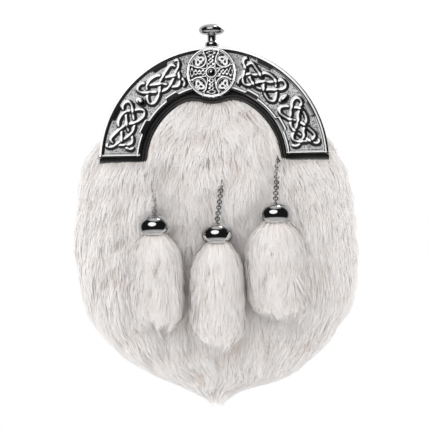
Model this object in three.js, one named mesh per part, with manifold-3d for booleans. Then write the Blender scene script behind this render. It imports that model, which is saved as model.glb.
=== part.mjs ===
// A white fur dress sporran: a soft leather pouch under fur, on a cast metal arch with three tassels.
// Lengths are in millimetres. +X is to the right, the front faces -Y, +Z is up.
// Everything is drawn from the centre of the arch, and moved at the end so that the origin is the
// middle of the back at the height of the strap loops.

import Module from 'manifold-3d';
import * as THREE from 'three';
import { mergeVertices } from 'three/addons/utils/BufferGeometryUtils.js';

const wasm = await Module();
wasm.setup();

// Driving sizes of the arch
const ARCH_RADIUS = 76;
const BAND_INNER_RADIUS = 48.7;
const LEG_FOOT = 4.3;
const BACKING_INNER_RADIUS = 44.1;
const BACKING_FOOT = 0.5;
const BOSS_HEIGHT = 58.6;
const BOSS_RADIUS = 16.6;
const BACKING_LOBE_RADIUS = 20.1;
const STRAP_HEIGHT = 25;

// Depths, measured forward from the back plane
const GAP = 0.3;
const BACK_THICKNESS = 2.2;
const PANEL_THICKNESS = 1.8;
const GUSSET_THICKNESS = 1.6;
const MOUTH_DEPTH = 12.2;
const BACKING_BACK = MOUTH_DEPTH + PANEL_THICKNESS + GAP;
const BACKING_THICKNESS = 3;
const PLATE_BACK = BACKING_BACK + BACKING_THICKNESS + GAP;
const PLATE_THICKNESS = 2.6;
const GROUND = PLATE_BACK + PLATE_THICKNESS;
const FLANGE_BACK = 12.5;
const FLANGE_THICKNESS = 1.6;
const RELIEF_SINK = 0.3;
const BORDER_HEIGHT = 0.9;
const STRAND_HEIGHT = 1.3;
const STRAND_WIDTH = 2.6;
const STRAND_LIFT = 0.35;

// Sizes of the fur, the chains and the tassels
const POUCH_RADIUS = 73;
const FUR_BACK = 3.6;
const FUR_PROUD = 3.2;
const SIDE_TRIM = 0.8;
const WIRE = 0.42;
const LINK_RADIUS = 1.28;

const LINK_BITE = 0.18;
const EYE_RADIUS = 1.8;
const EYE_WIRE = 0.45;
const BELL_RADIUS = 10.5;
const EYE_PLAY = 0.5;
const BELL_EYE_HEIGHT = 8.6;
const PLUNGER_DEPTH = 16.5;
const ARCH_STEPS = 10;
const BOSS_SIDES = 20;

const SILVER = { color: 0xc4c6c9, roughness: 0.25, metalness: 1 };
const CHROME = { color: 0xd6d8da, roughness: 0.08, metalness: 1 };
const BLACK_LEATHER = { color: 0x1b1a1a, roughness: 0.5, metalness: 0 };
const FUR = { color: 0xefece8, roughness: 0.9, metalness: 0 };

const sporran = new THREE.Group();
sporran.position.z = -STRAP_HEIGHT;

// Building tools

// The closed solid of a geometry whose corners are merged. They are set on a fine grid first, and a
// little off its lines, so that two copies of a corner never fall on either side of one.
const GRID = 1e-4;

function solid(geometry) {
  const plain = geometry.clone();
  plain.deleteAttribute('normal');
  plain.deleteAttribute('uv');
  const spots = plain.attributes.position.array;
  for (let i = 0; i < spots.length; i += 1) {
    spots[i] = (Math.round(spots[i] / GRID) + 0.3) * GRID;
  }
  const merged = mergeVertices(plain, GRID);
  return new wasm.Manifold(new wasm.Mesh({
    numProp: 3,
    vertProperties: new Float32Array(merged.attributes.position.array),
    triVerts: new Uint32Array(merged.index.array),
  }));
}

function fused(geometries) {
  return geometries.map(solid).reduce((sum, next) => sum.add(next));
}

// A shape without the crumbs that a cut leaves.
function largestPiece(shape) {
  return shape.decompose().reduce((best, next) => (next.volume() > best.volume() ? next : best));
}

function add(name, shape, finish) {
  let geometry = shape;
  if (!shape.isBufferGeometry) {
    const mesh = shape.getMesh();
    geometry = new THREE.BufferGeometry();
    geometry.setAttribute('position', new THREE.BufferAttribute(mesh.vertProperties, 3));
    geometry.setIndex(new THREE.BufferAttribute(mesh.triVerts, 1));
    geometry.computeVertexNormals();
  }
  const part = new THREE.Mesh(geometry, new THREE.MeshStandardMaterial(finish));
  part.name = name;
  sporran.add(part);
}

// A flat front-view shape as a plate that starts `back` behind the front and is `depth` thick.
function plate(shape, back, depth) {
  const geometry = new THREE.ExtrudeGeometry(shape, { depth, bevelEnabled: false });
  geometry.rotateX(Math.PI / 2);
  geometry.translate(0, -back, 0);
  return geometry;
}

// The same shape with its faces turned over if they point inward.
function facingOut(geometry) {
  const spots = geometry.attributes.position;
  const corners = geometry.index.array;
  const corner = (i) => new THREE.Vector3().fromBufferAttribute(spots, corners[i]);
  let volume = 0;
  for (let i = 0; i < corners.length; i += 3) {
    volume += corner(i).dot(corner(i + 1).cross(corner(i + 2)));
  }
  if (volume < 0) {
    corners.reverse();
  }
  return geometry;
}

// A skin through rings of equal count, closed at both ends by strips across the ring.
function loft(rings) {
  const count = rings[0].length;
  const faces = [];
  for (let row = 0; row + 1 < rings.length; row += 1) {
    for (let k = 0; k < count; k += 1) {
      const a = row * count + k;
      const b = row * count + ((k + 1) % count);
      faces.push(a, b, b + count, a, b + count, a + count);
    }
  }
  const last = (rings.length - 1) * count;
  for (let low = 0; low + 1 < count - 1 - low; low += 1) {
    const high = count - 1 - low;
    faces.push(low, high, low + 1, last + low, last + low + 1, last + high);
    if (high - 1 > low + 1) {
      faces.push(low + 1, high, high - 1, last + low + 1, last + high - 1, last + high);
    }
  }
  const points = rings.flat();
  const geometry = new THREE.BufferGeometry();
  geometry.setAttribute('position', new THREE.Float32BufferAttribute(points.flatMap((p) => p.toArray()), 3));
  geometry.setIndex(faces);
  return facingOut(geometry);
}

// The value of a column at a level, straight between the rows of a table that runs downward.
function at(rows, level, column) {
  const next = rows.findIndex((row) => row.level <= level);
  if (next <= 0) {
    return next === 0 ? rows[0][column] : rows[rows.length - 1][column];
  }
  const [high, low] = [rows[next - 1], rows[next]];
  const share = (high.level - level) / (high.level - low.level);
  return high[column] + share * (low[column] - high[column]);
}

// The same table with a smooth curve through its rows, in `steps` equal steps.
function smoothed(rows, steps) {
  const columns = Object.keys(rows[0]);
  const result = [];
  const curves = {};
  for (const column of columns) {
    curves[column] = new THREE.SplineCurve(rows.map((row) => new THREE.Vector2(row[column], 0)));
  }
  for (let i = 0; i <= steps; i += 1) {
    const row = {};
    for (const column of columns) {
      row[column] = curves[column].getPoint(i / steps).x;
    }
    result.push(row);
  }
  return result;
}

// A point of the arch, by its angle up from the left end and its radius.
function onArch(degrees, radius) {
  const angle = THREE.MathUtils.degToRad(degrees);
  return new THREE.Vector2(-radius * Math.cos(angle), radius * Math.sin(angle));
}

function footAngle(foot, radius) {
  return THREE.MathUtils.radToDeg(Math.asin(foot / radius));
}

// A list of points with its mirror image, in one run from left to right.
function mirrored(points) {
  const right = points.map((p) => new THREE.Vector2(-p.x, p.y)).reverse();
  return points.concat(right);
}

// Points of an arc from its foot at the left to the top.
function archRun(radius, foot, steps) {
  const first = footAngle(foot, radius);
  const points = [];
  for (let i = 0; i < steps; i += 1) {
    points.push(onArch(first + (90 - first) * (i / steps), radius));
  }
  return points;
}

function bandShape(outer, inner, foot, steps) {
  const out = mirrored(archRun(outer, foot, steps));
  const back = mirrored(archRun(inner, foot, steps)).reverse();
  return new THREE.Shape(out.concat(back));
}

// A rod along Y, between two depths.
function rod(radius, x, z, back, front, sides) {
  const geometry = new THREE.CylinderGeometry(radius, radius, front - back, sides);
  geometry.translate(x, -(back + front) / 2, z);
  return geometry;
}

// A turned shape, from its outline as radius and height, standing on Z.
function lathe(profile, sides) {
  const points = profile.map(([radius, height]) => new THREE.Vector2(radius, height));
  const geometry = new THREE.LatheGeometry(points, sides);
  geometry.rotateX(Math.PI / 2);
  return facingOut(geometry);
}

// The cantle: plate, turned-back rim, border, beads and knotwork in one casting

// The panel inside the border, whose edges step in and out
const PANEL_OUTER = 72.9;
const PANEL_INNER = 50.3;
const PANEL_FOOT = 6.2;
const BORDER_STEPS = [
  { edge: 'outer', from: 20.9, to: 29.4, by: -2.3 },
  { edge: 'outer', from: 55.8, to: 64.6, by: -2.3 },
  { edge: 'inner', from: 18.6, to: 30.1, by: 2 },
  { edge: 'inner', from: 51.6, to: 62.1, by: 2 },
];
const STEP_SLOPE = 0.4;

function steppedRun(edge, radius, steps) {
  const first = footAngle(PANEL_FOOT, radius);
  const own = BORDER_STEPS.filter((step) => step.edge === edge);
  const stops = [];
  for (let i = 0; i < steps; i += 1) {
    const stop = first + (90 - first) * (i / steps);
    const step = own.find((s) => stop > s.from && stop < s.to);
    const clear = own.every((s) => Math.abs(stop - s.from) > 1 && Math.abs(stop - s.to) > 1);
    if (clear) {
      stops.push({ stop, radius: radius + (step ? step.by : 0) });
    }
  }
  for (const step of own) {
    stops.push({ stop: step.from - STEP_SLOPE, radius });
    stops.push({ stop: step.from + STEP_SLOPE, radius: radius + step.by });
    stops.push({ stop: step.to - STEP_SLOPE, radius: radius + step.by });
    stops.push({ stop: step.to + STEP_SLOPE, radius });
  }
  stops.sort((a, b) => a.stop - b.stop);
  return stops.map((s) => onArch(s.stop, s.radius));
}

// One knot of each half runs as a single strand. A crossing is named where the strand passes it,
// and it passes over and under by turns. Columns are degrees from the knot's foot, and radius.
const CROSSINGS = {
  a: [1.9, 65.1],
  b: [4.9, 61.9],
  c: [10.3, 57.5],
  d: [18.1, 57.9],
  e: [24.3, 62.8],
  f: [21.2, 66.7],
  g: [15.1, 62.0],
  h: [2.4, 59.9],
  i: [11.4, 64.9],
};
const ROUTE = [
  [1.8, 70.0], [1.2, 71.0], [0, 70.5], [0, 68.2], 'a', 'b', [7.5, 59.4], 'c', [14.0, 56.6], 'd',
  [21.2, 60.1], 'e', [26.8, 65.8], [27.1, 68.4], [25.5, 70.0], [23.1, 69.7], 'f', [18.8, 64.2], 'g',
  [12.3, 59.6], 'c', [8.1, 55.4], [5.1, 54.9], [3.1, 57.0], 'h', 'a', [2.9, 68.0], [4.5, 69.2],
  [8.1, 67.1], 'i', 'g', 'd', [21.8, 55.5], [25.8, 54.7], [28.2, 56.5], [27.1, 59.6], 'e', 'f',
  [18.1, 67.9], [14.7, 67.7], [12.7, 66.6], 'i', [8.5, 63.0], 'b', 'h', [0.9, 57.6], [0.3, 55.7],
  [1.1, 53.9], [2.7, 53.1],
];
const LOWER_KNOT_FOOT = 9.1;
const UPPER_KNOT_FOOT = 71.7;
const BEAD = { degrees: 40.5, radius: 62, length: 4.4, width: 2.6, height: 2 };

// The strand between two passes under another one, as a raised rib.
function strand(points) {
  const curve = new THREE.CatmullRomCurve3(points, false, 'centripetal');
  const steps = Math.max(2, Math.round(curve.getLength() / 6.5));
  const rings = [];
  for (let i = 0; i <= steps; i += 1) {
    const p = curve.getPointAt(i / steps);
    const along = curve.getTangentAt(i / steps).setY(0).normalize();
    const side = new THREE.Vector3(along.z, 0, -along.x);
    const low = p.clone().setY(-GROUND + RELIEF_SINK);
    const high = p.clone().setY(p.y - GROUND - STRAND_HEIGHT);
    rings.push([
      low.clone().addScaledVector(side, -STRAND_WIDTH / 2),
      high,
      low.clone().addScaledVector(side, STRAND_WIDTH / 2),
    ]);
  }
  return loft(rings);
}

function knot(foot, turn, side) {
  let over = false;
  const spans = [[]];
  for (const stop of ROUTE) {
    const crossing = typeof stop === 'string';
    const [degrees, radius] = crossing ? CROSSINGS[stop] : stop;
    over = crossing ? !over : over;
    const lift = crossing ? (over ? STRAND_LIFT : -STRAND_LIFT) : 0;
    const flat = onArch(foot + turn * degrees, radius);
    const point = new THREE.Vector3(side * flat.x, -lift, flat.y);
    spans[spans.length - 1].push(point);
    if (crossing && !over) {
      spans.push([point.clone()]);
    }
  }
  return spans.map(strand);
}

function bead(side) {
  const geometry = new THREE.SphereGeometry(1, 8, 6);
  geometry.scale(BEAD.length, BEAD.height, BEAD.width);
  geometry.rotateY(THREE.MathUtils.degToRad(BEAD.degrees));
  const centre = onArch(BEAD.degrees, BEAD.radius);
  geometry.translate(centre.x, -GROUND, centre.y);
  geometry.scale(side, 1, 1);
  return facingOut(geometry);
}

const arch = solid(plate(bandShape(ARCH_RADIUS, BAND_INNER_RADIUS, LEG_FOOT, ARCH_STEPS), PLATE_BACK, PLATE_THICKNESS));
const lobe = solid(rod(BOSS_RADIUS - 0.4, 0, BOSS_HEIGHT, PLATE_BACK, GROUND, BOSS_SIDES));
const flange = solid(plate(
  bandShape(ARCH_RADIUS, ARCH_RADIUS - FLANGE_THICKNESS, LEG_FOOT, ARCH_STEPS),
  FLANGE_BACK,
  PLATE_BACK - FLANGE_BACK + RELIEF_SINK,
));
const borderOutline = bandShape(ARCH_RADIUS - 0.5, BAND_INNER_RADIUS + 0.1, LEG_FOOT + 0.3, ARCH_STEPS);
const panelOuterEdge = mirrored(steppedRun('outer', PANEL_OUTER, 8));
const panelInnerEdge = mirrored(steppedRun('inner', PANEL_INNER, 6)).reverse();
borderOutline.holes.push(new THREE.Path(panelOuterEdge.concat(panelInnerEdge).reverse()));
const border = solid(plate(borderOutline, GROUND - RELIEF_SINK, BORDER_HEIGHT + RELIEF_SINK));
const bossSeat = solid(rod(BOSS_RADIUS + 0.5, 0, BOSS_HEIGHT, GROUND, GROUND + 6, BOSS_SIDES));
const plungerPad = solid(new THREE.CylinderGeometry(5.2, 5.2, 1.3, 16)
  .rotateX(Math.PI / 2).translate(0, -PLUNGER_DEPTH, ARCH_RADIUS - 0.55));
let cantle = arch.add(lobe).add(flange).add(border).add(plungerPad);
for (const side of [1, -1]) {
  const ribs = [...knot(LOWER_KNOT_FOOT, 1, side), ...knot(UPPER_KNOT_FOOT, -1, side)];
  cantle = ribs.map(solid).reduce((sum, rib) => sum.add(rib), cantle);
  cantle = cantle.add(solid(bead(side)));
}
add('cantle', cantle.subtract(bossSeat), SILVER);

// The round badge: a rim, and a cross whose flared arms stand between four leaf-shaped hollows
const BOSS_BACK = GROUND + GAP;
const BOSS_BASE = 1.5;
const BOSS_RELIEF = 1.3;
const HOLLOW_RADIUS = 4.9;
const HOLLOW_SPREAD = 8.35;
const BOSS_RIM = 2;
const bossFront = BOSS_BACK + BOSS_BASE;
const bossBase = solid(rod(BOSS_RADIUS, 0, BOSS_HEIGHT, BOSS_BACK, bossFront, BOSS_SIDES));
let bossCross = solid(rod(BOSS_RADIUS - 0.6, 0, BOSS_HEIGHT, bossFront - RELIEF_SINK, bossFront + BOSS_RELIEF, BOSS_SIDES));
const insideRim = solid(rod(BOSS_RADIUS - BOSS_RIM, 0, BOSS_HEIGHT, bossFront, bossFront + 5, BOSS_SIDES));
for (const x of [-HOLLOW_SPREAD, HOLLOW_SPREAD]) {
  for (const z of [-HOLLOW_SPREAD, HOLLOW_SPREAD]) {
    const hollow = solid(rod(HOLLOW_RADIUS, x, BOSS_HEIGHT + z, bossFront, bossFront + 5, 10));
    bossCross = bossCross.subtract(hollow.intersect(insideRim));
  }
}
const collar = solid(rod(3.3, 0, BOSS_HEIGHT, bossFront, bossFront + BOSS_RELIEF + 0.5, 12));
const centreBead = solid(new THREE.SphereGeometry(2.2, 10, 6)
  .translate(0, -bossFront - BOSS_RELIEF - 0.5, BOSS_HEIGHT));
add('cross_boss', bossBase.add(bossCross).add(collar).add(centreBead), SILVER);

// The mushroom knob on top of the arch, with its stem and collar
const plungerSeat = ARCH_RADIUS + 0.1 + GAP;
const plunger = lathe([
  [0, 0], [4.9, 0], [4.9, 1.8], [3.1, 2.7], [3.1, 7.4], [5.8, 7.9], [8.4, 10.4], [7.4, 12.6], [4.2, 14],
  [0, 14.5],
], 12);
plunger.translate(0, -PLUNGER_DEPTH, plungerSeat);
add('plunger', solid(plunger), CHROME);

// The leather arch behind the metal, with a lobe under the badge and feet as wide as the rim
const backingRing = solid(plate(
  bandShape(ARCH_RADIUS - FLANGE_THICKNESS - 0.4, BACKING_INNER_RADIUS, BACKING_FOOT, ARCH_STEPS),
  BACKING_BACK,
  BACKING_THICKNESS,
));
const backingLobe = solid(rod(BACKING_LOBE_RADIUS, 0, BOSS_HEIGHT, BACKING_BACK, BACKING_BACK + BACKING_THICKNESS, BOSS_SIDES));
const backingFeet = solid(plate(
  bandShape(ARCH_RADIUS - 0.2, BACKING_INNER_RADIUS, BACKING_FOOT, ARCH_STEPS),
  BACKING_BACK,
  BACKING_THICKNESS,
));
const belowFlange = new THREE.BoxGeometry(2 * ARCH_RADIUS + 4, 40, 8).translate(0, -20, LEG_FOOT - GAP - 4);
const belowBadge = new THREE.BoxGeometry(60, 40, 40).translate(0, -20, BOSS_HEIGHT - 20);
const backing = backingRing
  .add(backingLobe.intersect(solid(belowBadge)))
  .add(backingFeet.intersect(solid(belowFlange)));
add('cantle_backing', backing, BLACK_LEATHER);

// The pouch. Its outline is the arch down to the shoulders, and then this table: the level, the half
// width, the depth of the pocket at the sides and in the middle, and how far out the middle reaches.
const SHOULDER = { level: 22, half: 69.6, edge: 12.2, belly: 12.2, reach: 25 };
const POUCH_TABLE = [
  { level: -2, half: 75.4, edge: 12.2, belly: 15.4, reach: 25 },
  { level: -20, half: 80.4, edge: 12.2, belly: 20, reach: 76 },
  { level: -55, half: 84.6, edge: 12.6, belly: 23, reach: 84 },
  { level: -88, half: 81, edge: 12.6, belly: 22.4, reach: 84 },
  { level: -112, half: 68, edge: 12.2, belly: 18.8, reach: 72 },
  { level: -128, half: 46, edge: 11.6, belly: 15, reach: 50 },
  { level: -139, half: 12, edge: 11, belly: 11.8, reach: 20 },
];

function pouchRows() {
  const rows = [];
  for (const degrees of [82, 66, 45]) {
    const spot = onArch(degrees, POUCH_RADIUS);
    rows.push({ level: spot.y, half: -spot.x, edge: MOUTH_DEPTH, belly: MOUTH_DEPTH, reach: 30 });
  }
  return rows.concat(SHOULDER, smoothed(POUCH_TABLE, 8));
}

const POUCH = pouchRows();

// How far the pocket reaches forward of the back plane.
function pocketDepth(row, x) {
  const share = Math.min(1, Math.abs(x) / row.reach);
  return row.edge + (row.belly - row.edge) * (1 - share ** 2.5);
}

const PANEL_COLUMNS = 6;

// How far forward the pocket's straight-sided faces come at a point.
function faceDepth(level, x) {
  const spread = (x / at(POUCH, level, 'half') + 1) / 2 * PANEL_COLUMNS;
  const column = Math.floor(spread);
  const depthAt = (k) => {
    const rows = POUCH.map((row) => ({
      level: row.level,
      depth: pocketDepth(row, row.half * (2 * k / PANEL_COLUMNS - 1)),
    }));
    return at(rows, level, 'depth');
  };
  return depthAt(column) + (spread - column) * (depthAt(column + 1) - depthAt(column));
}

// A level ring of the front sheet, or of a block in its shape that reaches back to `back`.
function sheetRing(row, grow, inner, outer) {
  const front = [];
  const rear = [];
  for (let k = 0; k <= PANEL_COLUMNS; k += 1) {
    const x = (row.half + grow) * (2 * k / PANEL_COLUMNS - 1);
    front.push(new THREE.Vector3(x, -outer(row, x), row.level));
    rear.push(new THREE.Vector3(x, -inner(row, x), row.level));
  }
  return front.concat(rear.reverse());
}

const panelFace = (row, x) => pocketDepth(row, x) + PANEL_THICKNESS;
add('front_panel', solid(loft(POUCH.map((row) => sheetRing(row, 0, pocketDepth, panelFace)))), BLACK_LEATHER);

// The pouch's outline seen from the front, from the left shoulder round the bottom to the right one
function outlinePoints(rows, inset) {
  const left = rows.map((row) => new THREE.Vector2(-row.half, row.level));
  const run = left.concat(left.map((p) => new THREE.Vector2(-p.x, p.y)).reverse());
  return run.map((p, i) => {
    const before = run[Math.max(0, i - 1)];
    const after = run[Math.min(run.length - 1, i + 1)];
    const along = after.clone().sub(before).normalize();
    return new THREE.Vector2(p.x - along.y * inset, p.y + along.x * inset);
  });
}

add('back_panel', solid(plate(new THREE.Shape(outlinePoints(POUCH, 0)), 0, BACK_THICKNESS)), BLACK_LEATHER);

// The gusset: a leather strip on edge between the two panels, a little inside their outline
const GUSSET_INSET = 2;
const gussetRows = POUCH.filter((row) => row.level <= SHOULDER.level);
const outerRun = outlinePoints(gussetRows, GUSSET_INSET);
const innerRun = outlinePoints(gussetRows, GUSSET_INSET + GUSSET_THICKNESS);
const gussetRings = outerRun.map((outer, i) => {
  const inner = innerRun[i];
  const level = Math.min(outer.y, inner.y);
  const row = { edge: at(POUCH, level, 'edge'), belly: at(POUCH, level, 'belly'), reach: at(POUCH, level, 'reach') };
  const front = Math.min(pocketDepth(row, outer.x), at(POUCH, outer.y, 'edge')) - GAP;
  const back = BACK_THICKNESS + GAP;
  return [
    new THREE.Vector3(outer.x, -back, outer.y),
    new THREE.Vector3(outer.x, -front, outer.y),
    new THREE.Vector3(inner.x, -front, inner.y),
    new THREE.Vector3(inner.x, -back, inner.y),
  ];
});
add('gusset', solid(loft(gussetRings)), BLACK_LEATHER);

// The three tassels hang from chains. Columns: the chain's links, where its top one hangs, the middle of the
// bell, and the fur under it: its length, half width, half depth and how far its tip leans right.
const TASSELS = [
  { name: 'left', links: 8, top: [-42, 24.6, -2.5], bell: [-38.6, 39.6, -41.2], length: 61, half: 18.6, deep: 12, lean: 3 },
  { name: 'middle', links: 6, top: [4.6, 27.6, -14.5], bell: [2.2, 40.6, -46.9], length: 69, half: 18, deep: 12, lean: 0 },
  { name: 'right', links: 8, top: [42.6, 24.6, 0.6], bell: [41.4, 39.4, -34.4], length: 64, half: 21, deep: 12.5, lean: 4 },
];

// The fur. Columns: the level, the half width of the outline and how far forward the middle comes.
const FUR_TABLE = [
  { level: 44, half: 34, front: 15.5 },
  { level: 20, half: 69, front: 22.4 },
  { level: -2, half: 85.6, front: 27 },
  { level: -25, half: 92, front: 30.4 },
  { level: -55, half: 94.2, front: 32.6 },
  { level: -84, half: 91.6, front: 33 },
  { level: -103, half: 84, front: 30.8 },
  { level: -119, half: 71, front: 27.6 },
  { level: -134, half: 52.5, front: 23.4 },
  { level: -147, half: 27, front: 18.4 },
  { level: -159, half: 3, front: 13 },
];
const FUR_RING = 10;
const SIDE_FALL = 3.2;
const SIDE_ROUND = 0.45;

// How far forward the coat comes under its locks, which stand proud of it.
function coatDepth(level, x) {
  const share = Math.min(1, Math.abs(x) / (at(FUR_TABLE, level, 'half') - SIDE_TRIM));
  const front = at(FUR_TABLE, level, 'front') - FUR_PROUD;
  return FUR_BACK + (front - FUR_BACK) * (1 - share ** SIDE_FALL) ** SIDE_ROUND;
}

function furRing(row) {
  const ring = [];
  const half = row.half - SIDE_TRIM;
  for (let k = 0; k <= FUR_RING; k += 1) {
    const x = -half * Math.cos(Math.PI * k / FUR_RING);
    ring.push(new THREE.Vector3(x, -Math.max(coatDepth(row.level, x), FUR_BACK + 1.5), row.level));
  }
  ring.push(new THREE.Vector3(half, -FUR_BACK, row.level), new THREE.Vector3(-half, -FUR_BACK, row.level));
  return ring;
}

// A lock of fur: a blade that leaves the coat at its root and ends in a point lower down.
function lock({ x, level, length, width, lean }) {
  const rings = [];
  for (const [along, spread, lift] of [[0, 0.5, -1.4], [0.35, 1, 0.4], [0.75, 0.75, 1], [1, 0.1, 0.8]]) {
    const z = level - length * along;
    const px = x + lean * along;
    const wide = width / 2 * spread;
    const thick = 0.5 + 3.4 * spread;
    const limit = at(FUR_TABLE, z, 'half') - 0.3;
    const corner = (cx, forward) => {
      const inside = Math.max(-limit, Math.min(limit, cx));
      return new THREE.Vector3(inside, -coatDepth(z, inside) - forward, z);
    };
    rings.push([
      corner(px - wide, FUR_PROUD * lift - thick),
      corner(px, FUR_PROUD * lift),
      corner(px + wide, FUR_PROUD * lift - thick),
    ]);
  }
  return loft(rings);
}

// The rows of locks: their level, how many, how far out they spread and how long they are.
const LOCK_ROWS = [
  { level: -2, count: 2, spread: 17, length: 38, width: 30 },
  { level: -22, count: 4, spread: 74, length: 42, width: 36 },
  { level: -60, count: 5, spread: 78, length: 42, width: 36 },
  { level: -96, count: 5, spread: 70, length: 38, width: 32 },
  { level: -124, count: 4, spread: 40, length: 34, width: 22 },
];

function furLocks() {
  const locks = [];
  LOCK_ROWS.forEach((row, r) => {
    for (let k = 0; k < row.count; k += 1) {
      const share = 2 * k / (row.count - 1) - 1;
      const sway = Math.sin(2.1 * k + 1.7 * r);
      const inward = row.level < -100 ? -9 * share : -1.5 * share;
      locks.push(lock({
        x: row.spread * share,
        level: row.level + 4 * sway,
        length: row.length + 3 * sway,
        width: row.width,
        lean: inward + 1.5 * sway,
      }));
    }
  });
  return locks;
}

// A straight run between two points as a round rod, with its ends carried on by `extra`.
function runRod(from, to, radius, sides, extra) {
  const along = to.clone().sub(from);
  const length = along.length() + 2 * extra;
  const geometry = new THREE.CylinderGeometry(radius, radius, length, sides);
  const turn = new THREE.Quaternion().setFromUnitVectors(new THREE.Vector3(0, 1, 0), along.normalize());
  geometry.applyQuaternion(turn);
  const middle = from.clone().add(to).multiplyScalar(0.5);
  geometry.translate(middle.x, middle.y, middle.z);
  return geometry;
}

const inSpace = ([x, depth, z]) => new THREE.Vector3(x, -depth, z);

function chainEnds(tassel) {
  const top = inSpace(tassel.top);
  const eye = inSpace(tassel.bell);
  eye.z += BELL_EYE_HEIGHT;
  return { top, eye };
}

// Chains: each link is a stretched ring, turned a quarter from the one above it
const LINK_SIDES = 10;
const WIRE_SIDES = 5;

function ringAt(centre, along, turn, radius, wire, stretch) {
  const geometry = new THREE.TorusGeometry(radius, wire, WIRE_SIDES, LINK_SIDES);
  const spots = geometry.attributes.position;
  for (let i = 0; i < spots.count; i += 1) {
    const share = Math.max(-1, Math.min(1, spots.getY(i) / (radius * 0.6)));
    spots.setY(i, spots.getY(i) + share * stretch / 2);
  }
  const sideways = new THREE.Vector3(1, 0, 0).addScaledVector(along, -along.x).normalize();
  const across = new THREE.Vector3().crossVectors(sideways, along);
  const wide = sideways.clone().multiplyScalar(Math.cos(turn)).addScaledVector(across, Math.sin(turn));
  const normal = new THREE.Vector3().crossVectors(wide, along);
  geometry.applyMatrix4(new THREE.Matrix4().makeBasis(wide, along, normal));
  geometry.translate(centre.x, centre.y, centre.z);
  return geometry;
}

// Half the height that a link's two end bars stand apart, so that links sit in each other.
function linkPlan(tassel) {
  const { top, eye } = chainEnds(tassel);
  const along = top.clone().sub(eye);
  const span = along.length();
  along.normalize();
  const count = tassel.links;
  const pitch = span / count;
  const half = (pitch + 2 * WIRE - LINK_BITE) / 2;
  return { top, eye, along, count, pitch, half };
}

function chain(tassel) {
  const { top, along, count, pitch, half } = linkPlan(tassel);
  const links = [];
  for (let i = 0; i < count; i += 1) {
    const centre = top.clone().addScaledVector(along, -pitch * (i + 0.5));
    const turn = (i % 2) * Math.PI / 2;
    links.push(ringAt(centre, along, turn, LINK_RADIUS, WIRE, 2 * (half - LINK_RADIUS)));
  }
  return fused(links);
}

// The eye that the top link hangs in, on a post through the fur to the leather behind it
function eyeletCentre(tassel) {
  const { top, along, pitch, half } = linkPlan(tassel);
  const bar = half - pitch / 2;
  return top.clone().addScaledVector(along, bar + EYE_RADIUS - EYE_WIRE - WIRE - EYE_PLAY);
}

function eyelet(tassel) {
  const centre = eyeletCentre(tassel);
  const upright = new THREE.Vector3(0, 0, 1);
  const ring = ringAt(centre, upright, Math.PI / 2, EYE_RADIUS, EYE_WIRE, 0);
  const back = faceDepth(centre.z, centre.x) + PANEL_THICKNESS + GAP + 0.1;
  const post = rod(0.8, centre.x, centre.z, back, -centre.y - EYE_RADIUS + 0.2, 6);
  return fused([ring, post]);
}

// The coat is cut to clear the pouch, the arch, the chains, the eyelets and the bells
let fur = solid(loft(FUR_TABLE.map(furRing)));
fur = furLocks().map(solid).reduce((sum, next) => sum.add(next), fur);
const clearance = PANEL_THICKNESS + GAP;
const behind = new THREE.BoxGeometry(400, 20, 400).translate(0, 10 - FUR_BACK - 0.4, 0);
const pouchBlock = solid(loft(POUCH.map((row) => sheetRing(
  row,
  GAP + 0.2,
  () => -2,
  (r, x) => pocketDepth(r, x) + clearance,
))));
const archBlock = fused([
  plate(bandShape(ARCH_RADIUS + 0.4, BACKING_INNER_RADIUS - 0.4, BACKING_FOOT - 0.4, ARCH_STEPS), FLANGE_BACK - 0.4, 40),
  rod(BACKING_LOBE_RADIUS + 0.4, 0, BOSS_HEIGHT, FLANGE_BACK - 0.4, 40, BOSS_SIDES),
]);
fur = fur.subtract(pouchBlock).subtract(archBlock).subtract(solid(behind));
for (const tassel of TASSELS) {
  const { top, eye } = chainEnds(tassel);
  const eyeSpot = eyeletCentre(tassel);
  const hole = rod(EYE_RADIUS + EYE_WIRE + 0.6, eyeSpot.x, eyeSpot.z, 10, -eyeSpot.y + 1.2, 8);
  const dent = new THREE.SphereGeometry(1, 8, 6).scale(BELL_RADIUS + 1.1, BELL_RADIUS + 1.1, 8.4);
  const bell = inSpace(tassel.bell);
  dent.translate(bell.x, bell.y, bell.z);
  fur = fur.subtract(solid(runRod(top, eye, 2.8, 6, 1.5))).subtract(solid(hole)).subtract(solid(dent));
}
add('fur_pelt', largestPiece(fur), FUR);

// A bell: a flattened dome, open below, with the eye that the bottom link holds
function bell(tassel) {
  const { eye, along, count, pitch, half } = linkPlan(tassel);
  const middle = inSpace(tassel.bell);
  const dome = lathe([
    [0, 6.4], [5.4, 5.7], [8.8, 3.9], [10.5, -0.2], [10.1, -3.6], [9.3, -6.2],
    [8.6, -6.2], [9.4, -1.4], [7.4, 2.9], [0, 4.8],
  ], 12);
  dome.translate(middle.x, middle.y, middle.z);
  const bar = half - pitch / 2;
  const centre = eye.clone().addScaledVector(along, -bar - EYE_RADIUS + EYE_WIRE + WIRE + EYE_PLAY);
  const turn = (count % 2) * Math.PI / 2;
  const ring = ringAt(centre, along, turn, EYE_RADIUS, EYE_WIRE, 0);
  return fused([dome, ring]);
}

// A tassel: a head inside the bell, a core, and locks of fur around it.
// Columns: how far down, and the share of the full width there.
const TASSEL_TABLE = [
  { level: 0, width: 0.46 },
  { level: -0.13, width: 0.8 },
  { level: -0.38, width: 1 },
  { level: -0.66, width: 0.98 },
  { level: -0.87, width: 0.86 },
  { level: -1, width: 0.5 },
];
const TASSEL_LOCKS = 5;

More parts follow.
